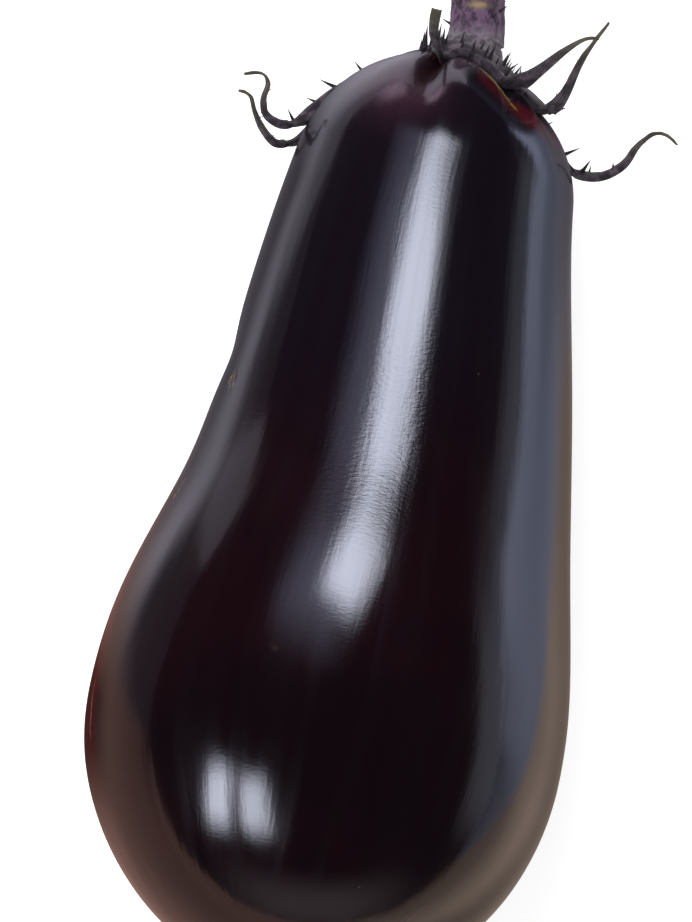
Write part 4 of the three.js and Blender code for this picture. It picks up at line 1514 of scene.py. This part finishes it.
@dataclass
class Stem:
    """The cut fruit stalk."""

    form: SkinForm
    start: float = 5.6
    midline: tuple[tuple[float, float, float], ...] = (
        (0, 0, 0), (0.6, 8.2, 0), (0.4, 16.4, 0.6), (0, 28.7, 2.2))
    radii: tuple[float, ...] = (5.6, 5.7, 5.55, 5.4, 5.4, 5.4, 5.45, 5.5, 5.45, 5.0)
    rib_count: int = 5
    rib_depth: float = 0.16
    cut_slant: float = 0.12
    rows: int = 110
    sides: int = 96
    cut_rings: int = 8
    length: float = 28.8
    grain_radius: float = 5.5
    chamfer: float = 0.35
    dish_depth: float = 0.25
    felt_cover: float = 0.85
    felt_reach: float = 2.4
    scar_place: float = 8.6
    scar_half_width: float = 0.9
    scar_spread: float = 20.0
    prickle_span: tuple[float, float] = (0.1, 0.85)
    prickle_lean: float = 0.5
    prickle_sink: float = 0.15
    seed: int = 30
    prickles: int = 16
    thorns: Thorns = Thorns(lengths=(0.8, 2.6), radius=0.5, bend=0.1)
    bumps: Wobble = Wobble(41, 2.2, 0.09, (1.0, 0.7, 1.0))
    lines: Wobble = Wobble(42, 1.1, 0.05, (1.0, 0.2, 1.0))

    def middle(self, shares: np.ndarray) -> np.ndarray:
        """Return places on the stem's midline."""
        foot = self.form.stem_foot + self.start * self.form.stem_way
        return smooth_curve(foot + np.array(self.midline), shares)

    def frames(self, shares: np.ndarray) -> tuple[np.ndarray, ...]:
        """Return the midline's places, ways along, ways across and ways up at shares."""
        way = unit(self.middle(shares + 0.01) - self.middle(shares - 0.01))
        side = unit(np.cross(way, UP))
        return self.middle(shares), way, side, np.cross(side, way)

    def build(self, material: bpy.types.Material) -> bpy.types.Object:
        """Make the stem.

        Args:
            material: Its finish.

        Returns:
            The piece.
        """
        shares = np.linspace(0, 1, self.rows)
        angles = np.linspace(0, 2 * math.pi, self.sides, endpoint=False)[None]
        centre, way, side, top = self.frames(shares)
        column = shares[:, None]
        base = np.interp(shares, np.linspace(0, 1, len(self.radii)), self.radii)[:, None]
        ribbed = base + self.rib_depth * np.cos(self.rib_count * angles + 2 * column)
        end = smoothstep(column, 1 - 2 * self.chamfer / self.length, 1)
        ribbed = ribbed - self.chamfer * end**2
        ring = np.cos(angles)[..., None] * side[:, None] + np.sin(angles)[..., None] * top[:, None]
        plain = centre[:, None] + ribbed[..., None] * ring
        slant = self.cut_slant * ribbed * np.cos(angles) * column**4
        uneven = (self.bumps.at(plain) + self.lines.at(plain)) * (1 - end)
        places = plain + uneven[..., None] * ring + slant[..., None] * way[:, None]
        length = self.length * column + 0 * angles
        radius = self.grain_radius
        grain = np.stack([radius * np.cos(angles) + 0 * column, radius * np.sin(angles) + 0 * column,
                          length], axis=-1)
        felt = self.felt_cover * bell(length / self.felt_reach)
        scar = bell((length - self.scar_place) / self.scar_half_width)
        scar = scar * bell(np.degrees(angles - math.pi / 2) / self.scar_spread)
        maker = MeshMaker()
        grid = maker.points(places, {Mask.GRAIN: grain, Mask.FELT: np.minimum(felt, 1), Mask.SCAR: scar})
        maker.sheet(grid, closed=True)
        maker.fan(grid[0], int(maker.points(centre[0], {Mask.FELT: np.array(1.0)})))

        # The cut end, a slightly dished disc
        shrink = np.linspace(1, 0, self.cut_rings + 1)[:-1, None, None]
        hub = centre[-1]
        disc = hub + shrink * (places[-1] - hub)[None]
        dish = self.dish_depth * (1 - shrink[..., 0] ** 2) + 0 * angles
        disc = disc - dish[..., None] * way[-1]
        cut = maker.points(disc, {
            Mask.CUT: np.ones(disc.shape[:-1]), Mask.ALONG: shrink[..., 0] + 0 * angles,
            Mask.GRAIN: disc - hub})
        maker.sheet(np.concatenate([grid[-1][None], cut]), closed=True)
        maker.fan(cut[-1], int(maker.points(hub - self.dish_depth * way[-1], {Mask.CUT: np.array(1.0)})))

        draw = np.random.default_rng(self.seed)
        thorn_shares = (np.arange(self.prickles) + draw.random(self.prickles)) / self.prickles
        roots, ways, sides, tops = self.frames(lerp(*self.prickle_span, thorn_shares))
        for k in range(self.prickles):
            angle = draw.uniform(0, 2 * math.pi)
            outward = sides[k] * math.cos(angle) + tops[k] * math.sin(angle)
            root = roots[k] + (self.radii[4] - self.prickle_sink) * outward
            way = outward + self.prickle_lean * ways[k]
            self.thorns.add(maker, root, way, draw.uniform(*self.thorns.lengths))
        piece = maker.build("stem_stalk")
        settle(piece, Node.STEM, material)
        return piece


class Use(Enum):
    """What a light panel is for."""

    MIRRORED = "mirrored in the skin"
    LIGHTING = "light on what is matt"


@dataclass(frozen=True)
class Panel:
    """A light panel that faces the fruit, brightest inside and fading to its edges.

    Attributes:
        name: Its name.
        across: Direction it stands in, in degrees from +Y towards +X.
        height: Degrees that it stands above the level.
        distance: Metres from the fruit.
        width: Metres across.
        tall: Metres from its lower to its upper edge.
        brightness: How bright its middle is, where white paper in the sun would be about 1.
        roll: Degrees that it is turned in its own plane.
        fade: Share of its half width and half height over which it fades.
        tint: Its colour.
        use: What it is for.
    """

    name: str
    across: float
    height: float
    distance: float
    width: float
    tall: float
    brightness: float
    roll: float = 0.0
    fade: float = 0.4
    tint: tuple[float, float, float] = (0.80, 0.84, 1.0)
    use: Use = Use.MIRRORED

    def build(self, target: Vector) -> None:
        """Make the light.

        Args:
            target: The place that it faces.
        """
        light = bpy.data.lights.new(self.name, "AREA")
        light.shape = "RECTANGLE"
        light.size = self.width
        light.size_y = self.tall
        light.energy = self.brightness * math.pi * self.width * self.tall
        light.color = self.tint
        self.soften(light)
        across = math.radians(self.across)
        height = math.radians(self.height)
        roll = math.radians(self.roll)
        way = Vector((math.sin(across), math.cos(across), 0)) * math.cos(height)
        way += Vector((0, 0, math.sin(height)))
        level = Vector((math.cos(across), -math.sin(across), 0))
        down = way.cross(level)
        side = level * math.cos(roll) + down * math.sin(roll)
        turn = Matrix((side, way.cross(side), way)).transposed().to_4x4()
        holder = bpy.data.objects.new(self.name, light)
        holder.matrix_world = Matrix.Translation(target + way * self.distance) @ turn
        holder.visible_camera = False
        holder.visible_diffuse = self.use is Use.LIGHTING
        holder.visible_glossy = self.use is Use.MIRRORED
        bpy.context.scene.collection.objects.link(holder)

    def soften(self, light: bpy.types.AreaLight) -> None:
        """Let the light fade towards its edges."""
        light.use_nodes = True
        light.node_tree.nodes.clear()
        bench = NodeBench(light.node_tree)
        place = bench.put("ShaderNodeNewGeometry").outputs["Parametric"]
        parts = bench.put("ShaderNodeSeparateXYZ", {0: place})
        shares = []
        for axis in range(2):
            middle = bench.math("ABSOLUTE", bench.math("SUBTRACT", parts.outputs[axis], 0.5))
            shares.append(bench.span(middle, 0.5, 0.5 - 0.5 * self.fade))
        glow = bench.put("ShaderNodeEmission", {
            "Color": colour(1, 1, 1), "Strength": bench.math("MULTIPLY", *shares)})
        bench.put("ShaderNodeOutputLight", {"Surface": glow.outputs[0]})


@dataclass(frozen=True)
class FloorGlow:
    """The floor as the skin mirrors it.

    Beside the fruit the floor is dim and warm. On the right it gets bright and cool further off,
    most of all behind. On the left it is pale beside the neck and red in front. A range holds two
    places on the floor in metres and, where it has four numbers, the values at those places.
    """

    cool: tuple = colour(0.64, 0.72, 1.0)
    neutral: tuple = colour(0.90, 0.84, 1.0)
    warm: tuple = colour(1.0, 0.76, 0.62)
    red: tuple = colour(1.0, 0.58, 0.48)
    right_range: tuple = (-0.03, 0.03)
    shoulder_place: float = 0.08
    shoulder_lean: float = 0.36
    front_range: tuple = (0.065, 0.0)
    behind_range: tuple = (0.05, 0.10)
    near_across: tuple = (0.06, 0.12, 0.20, 0.58)
    near_along: tuple = (-0.07, -0.03, 1.25, 1.0)
    near_behind: float = 0.75
    far_front: tuple = (-0.15, 0.02, 0.42, 0.88)
    far_behind: tuple = (0.02, 0.35, 1.0, 1.7)
    far_across: tuple = (0.45, 1.5, 1.0, 0.45)
    near_to_far: tuple = (0.10, 0.30)
    corner_lean: float = 0.85
    corner_range: tuple = (0.053, 0.088, 1.0, 0.06)
    front_lean: float = 0.85
    front_strength: float = 0.30
    front_fall_across: tuple = (0.25, 1.6, 1.0, 0.25)
    front_rise_along: tuple = (-0.03, -0.45, 0.0, 1.3)
    beside_to_off: tuple = (0.085, 0.16)
    beside_belly: tuple = (-0.022, -0.065, 0.03, 0.32)
    beside_waist: tuple = (-0.012, 0.012, 0.0, 0.20)
    neck_rise: tuple = (0.05, 0.10, 0.12, 0.60)
    neck_fall: tuple = (0.09, 0.17, 1.0, 0.13)
    back_lean: float = 0.9
    back_slope: tuple = (-0.03, 0.02, 0.0, 0.85)
    back_across: tuple = (0.04, 0.20, 1.0, 0.45)
    back_along: tuple = (0.10, 0.17)
    cool_place: float = 0.03
    cool_lean: float = 1.2
    cool_range: tuple = (0.07, 0.13)
    warm_range: tuple = (0.08, 0.04)

    def right_glow(self, bench: NodeBench, across: object, along: object) -> bpy.types.NodeSocket:
        """Work out the glow on the right.

        Args:
            bench: The floor's nodes.
            across: The socket of the place to the right.
            along: The socket of the place towards the stem.

        Returns:
            The glow's socket.
        """
        behind = bench.span(along, *self.behind_range)
        near = bench.product(
            bench.span(across, *self.near_across), bench.span(behind, 0, 1, 1, self.near_behind),
            bench.span(along, *self.near_along))
        far = bench.product(
            bench.span(along, *self.far_front), bench.span(along, *self.far_behind),
            bench.span(across, *self.far_across))
        both = bench.mix(bench.span(across, *self.near_to_far), near, far)
        corner = bench.math("SUBTRACT", along, bench.math("MULTIPLY", across, self.corner_lean))
        return bench.math("MULTIPLY", both, bench.span(corner, *self.corner_range))

    def left_glow(self, bench: NodeBench, across: object, along: object,
                  front: object) -> bpy.types.NodeSocket:
        """Work out the glow on the left.

        Args:
            bench: The floor's nodes.
            across: The socket of the place to the right.
            along: The socket of the place towards the stem.
            front: The socket of how far in front the place is, from 0 to 1.

        Returns:
            The glow's socket.
        """
        leftwards = bench.math("MULTIPLY", across, -1.0)
        outwards = bench.math("MAXIMUM", leftwards, bench.math("MULTIPLY", along, -self.front_lean))
        off = bench.math("MAXIMUM", bench.span(leftwards, *self.front_fall_across),
                         bench.span(along, *self.front_rise_along))
        beside = bench.math("MAXIMUM", bench.span(along, *self.beside_belly),
                            bench.span(along, *self.beside_waist))
        front_glow = bench.mix(bench.span(outwards, *self.beside_to_off), beside,
                               bench.math("MULTIPLY", off, self.front_strength))
        neck_glow = bench.product(
            bench.span(leftwards, *self.neck_rise), bench.span(leftwards, *self.neck_fall))
        slope = bench.math("ADD", along, bench.math("MULTIPLY", across, self.back_lean))
        back_glow = bench.product(
            bench.span(slope, *self.back_slope), bench.span(leftwards, *self.back_across),
            bench.span(along, *self.back_along))
        return bench.mix(front, bench.math("MAXIMUM", neck_glow, back_glow), front_glow)

    def build(self, bench: NodeBench) -> bpy.types.NodeSocket:
        """Work out the glow and its tint.

        Args:
            bench: The floor's nodes.

        Returns:
            The socket of its shader.
        """
        place = bench.put("ShaderNodeTexCoord").outputs["Object"]
        parts = bench.put("ShaderNodeSeparateXYZ", {0: place})
        across = parts.outputs[0]
        along = parts.outputs[1]
        past = bench.math("MAXIMUM", bench.math("SUBTRACT", along, self.shoulder_place), 0.0)
        from_stem = bench.math("SUBTRACT", across, bench.math("MULTIPLY", past, self.shoulder_lean))
        right = bench.span(from_stem, *self.right_range)
        front = bench.span(along, *self.front_range)
        left_glow = self.left_glow(bench, across, along, front)
        glow = bench.mix(right, left_glow, self.right_glow(bench, across, along))

        before = bench.math("MULTIPLY", bench.math("SUBTRACT", along, self.cool_place), self.cool_lean)
        leaning = bench.math("ADD", across, bench.math("MINIMUM", before, 0.0))
        near_tint = bench.blend(bench.span(along, *self.warm_range), self.neutral, self.warm)
        right_tint = bench.blend(bench.span(leaning, *self.cool_range), near_tint, self.cool)
        left_tint = bench.blend(front, self.neutral, self.red)
        tint = bench.blend(right, left_tint, right_tint)
        return bench.put("ShaderNodeEmission", {"Color": tint, "Strength": glow}).outputs[0]


@dataclass
class Studio:
    """Floor, lights and camera."""

    target_mm: tuple[float, float, float] = (-1.5, 29.2, 40.0)
    elevation: float = 82.0
    distance_mm: float = 800.0
    lens_pixels: float = 4024.0
    photo_height: int = 922
    sensor: float = 36.0
    floor_size: float = 12.0
    panels: tuple[Panel, ...] = (
        Panel("Main panel", 11.0, 52.1, 0.25, 0.130, 0.126, 8.2, roll=66.0, fade=0.72),
        Panel("Dim edge of the main panel", -9.0, 54.0, 0.25, 0.200, 0.215, 0.85, roll=54.0, fade=0.8,
              tint=(0.66, 0.70, 1.0)),
        Panel("Window, right pane", -119.0, 33.5, 1.6, 0.50, 1.00, 8.2, roll=46.0, fade=0.8),
        Panel("Window, left pane", -134.5, 45.5, 1.6, 0.50, 0.95, 7.2, roll=46.0, fade=0.8),
        Panel("Low card in front", 184.0, 13.0, 1.6, 3.0, 1.1, 0.26, fade=0.9, tint=(1.0, 0.85, 0.92)),
        Panel("Low card behind", -14.0, 4.0, 1.6, 1.0, 0.65, 1.1, fade=0.85, tint=(1.0, 0.74, 0.96)),
        Panel("Low card on the right", 92.0, 6.0, 1.6, 2.4, 0.7, 0.42, fade=0.7, tint=(0.76, 0.84, 1.0)),
        Panel("Key panel", -35.0, 62.0, 1.5, 0.9, 0.9, 5.4, fade=0.1, tint=(1.0, 1.0, 1.0),
              use=Use.LIGHTING),
    )
    floor_white: tuple = colour(0.86, 0.86, 0.86)
    floor_lift: float = 0.78
    floor_roughness: float = 0.9
    glow: FloorGlow = FloorGlow()
    fill: float = 0.50
    dark: float = 0.012

    def add_floor(self) -> None:
        """Add the pale floor, which the skin mirrors as a soft band along each side."""
        half = self.floor_size / 2
        mesh = bpy.data.meshes.new("floor")
        corners = [(-half, -half, 0), (half, -half, 0), (half, half, 0), (-half, half, 0)]
        mesh.from_pydata(corners, [], [tuple(range(len(corners)))])
        floor = bpy.data.objects.new("floor", mesh)
        bpy.context.scene.collection.objects.link(floor)
        material, bench, shader = new_material("Pale floor")
        shader.inputs["Base Color"].default_value = self.floor_white
        shader.inputs["Roughness"].default_value = self.floor_roughness
        shader.inputs["Specular IOR Level"].default_value = 0.0
        path = bench.put("ShaderNodeLightPath")
        lifted = bench.put("ShaderNodeEmission", {"Color": self.floor_white, "Strength": self.floor_lift})
        seen = bench.put("ShaderNodeAddShader", {0: shader.outputs[0], 1: lifted.outputs[0]})
        mix = bench.put("ShaderNodeMixShader", {
            0: path.outputs["Is Glossy Ray"], 1: seen.outputs[0], 2: self.glow.build(bench)})
        output = next(node for node in bench.tree.nodes if node.type == "OUTPUT_MATERIAL")
        bench.tree.links.new(mix.outputs[0], output.inputs["Surface"])
        mesh.materials.append(material)

    def add_surroundings(self) -> None:
        """Add soft fill light all round that the glossy skin hardly mirrors."""
        world = bpy.data.worlds.new("Studio")
        bpy.context.scene.world = world
        world.use_nodes = True
        world.node_tree.nodes.clear()
        bench = NodeBench(world.node_tree)
        path = bench.put("ShaderNodeLightPath")
        strength = bench.span(path.outputs["Is Diffuse Ray"], 0, 1, self.dark, self.fill)
        seen = bench.math("MAXIMUM", strength, path.outputs["Is Camera Ray"])
        shade = bench.put("ShaderNodeBackground", {"Color": colour(1, 1, 1), "Strength": seen})
        bench.put("ShaderNodeOutputWorld", {"Surface": shade.outputs[0]})

    def add_camera(self) -> None:
        """Add the camera, which looks down on the fruit as the photograph does."""
        camera = bpy.data.cameras.new("Camera")
        camera.lens = self.lens_pixels / self.photo_height * self.sensor
        camera.sensor_width = self.sensor
        camera.sensor_fit = "AUTO"
        holder = bpy.data.objects.new("Camera", camera)
        height = math.radians(self.elevation)
        back = Vector((0, -math.cos(height), math.sin(height)))
        holder.location = (Vector(self.target_mm) + back * self.distance_mm) * MM
        holder.rotation_euler = (math.pi / 2 - height, 0, 0)
        bpy.context.scene.collection.objects.link(holder)
        bpy.context.scene.camera = holder

    def build(self) -> None:
        """Set up the studio."""
        self.add_camera()
        self.add_floor()
        self.add_surroundings()
        for panel in self.panels:
            panel.build(Vector(self.target_mm) * MM)
        bpy.context.scene.view_settings.view_transform = "Standard"


def main() -> None:
    """Build the studio and the eggplant."""
    logging.basicConfig(level=logging.INFO, format="%(message)s")
    Studio().build()
    form = SkinForm()
    shelf = EffectShelf()
    Fruit(form).build(SkinFinish().build(shelf))
    Calyx(form).build(CalyxFinish().build(shelf))
    Stem(form).build(StemFinish().build(shelf))


if __name__ == "__main__":
    main()
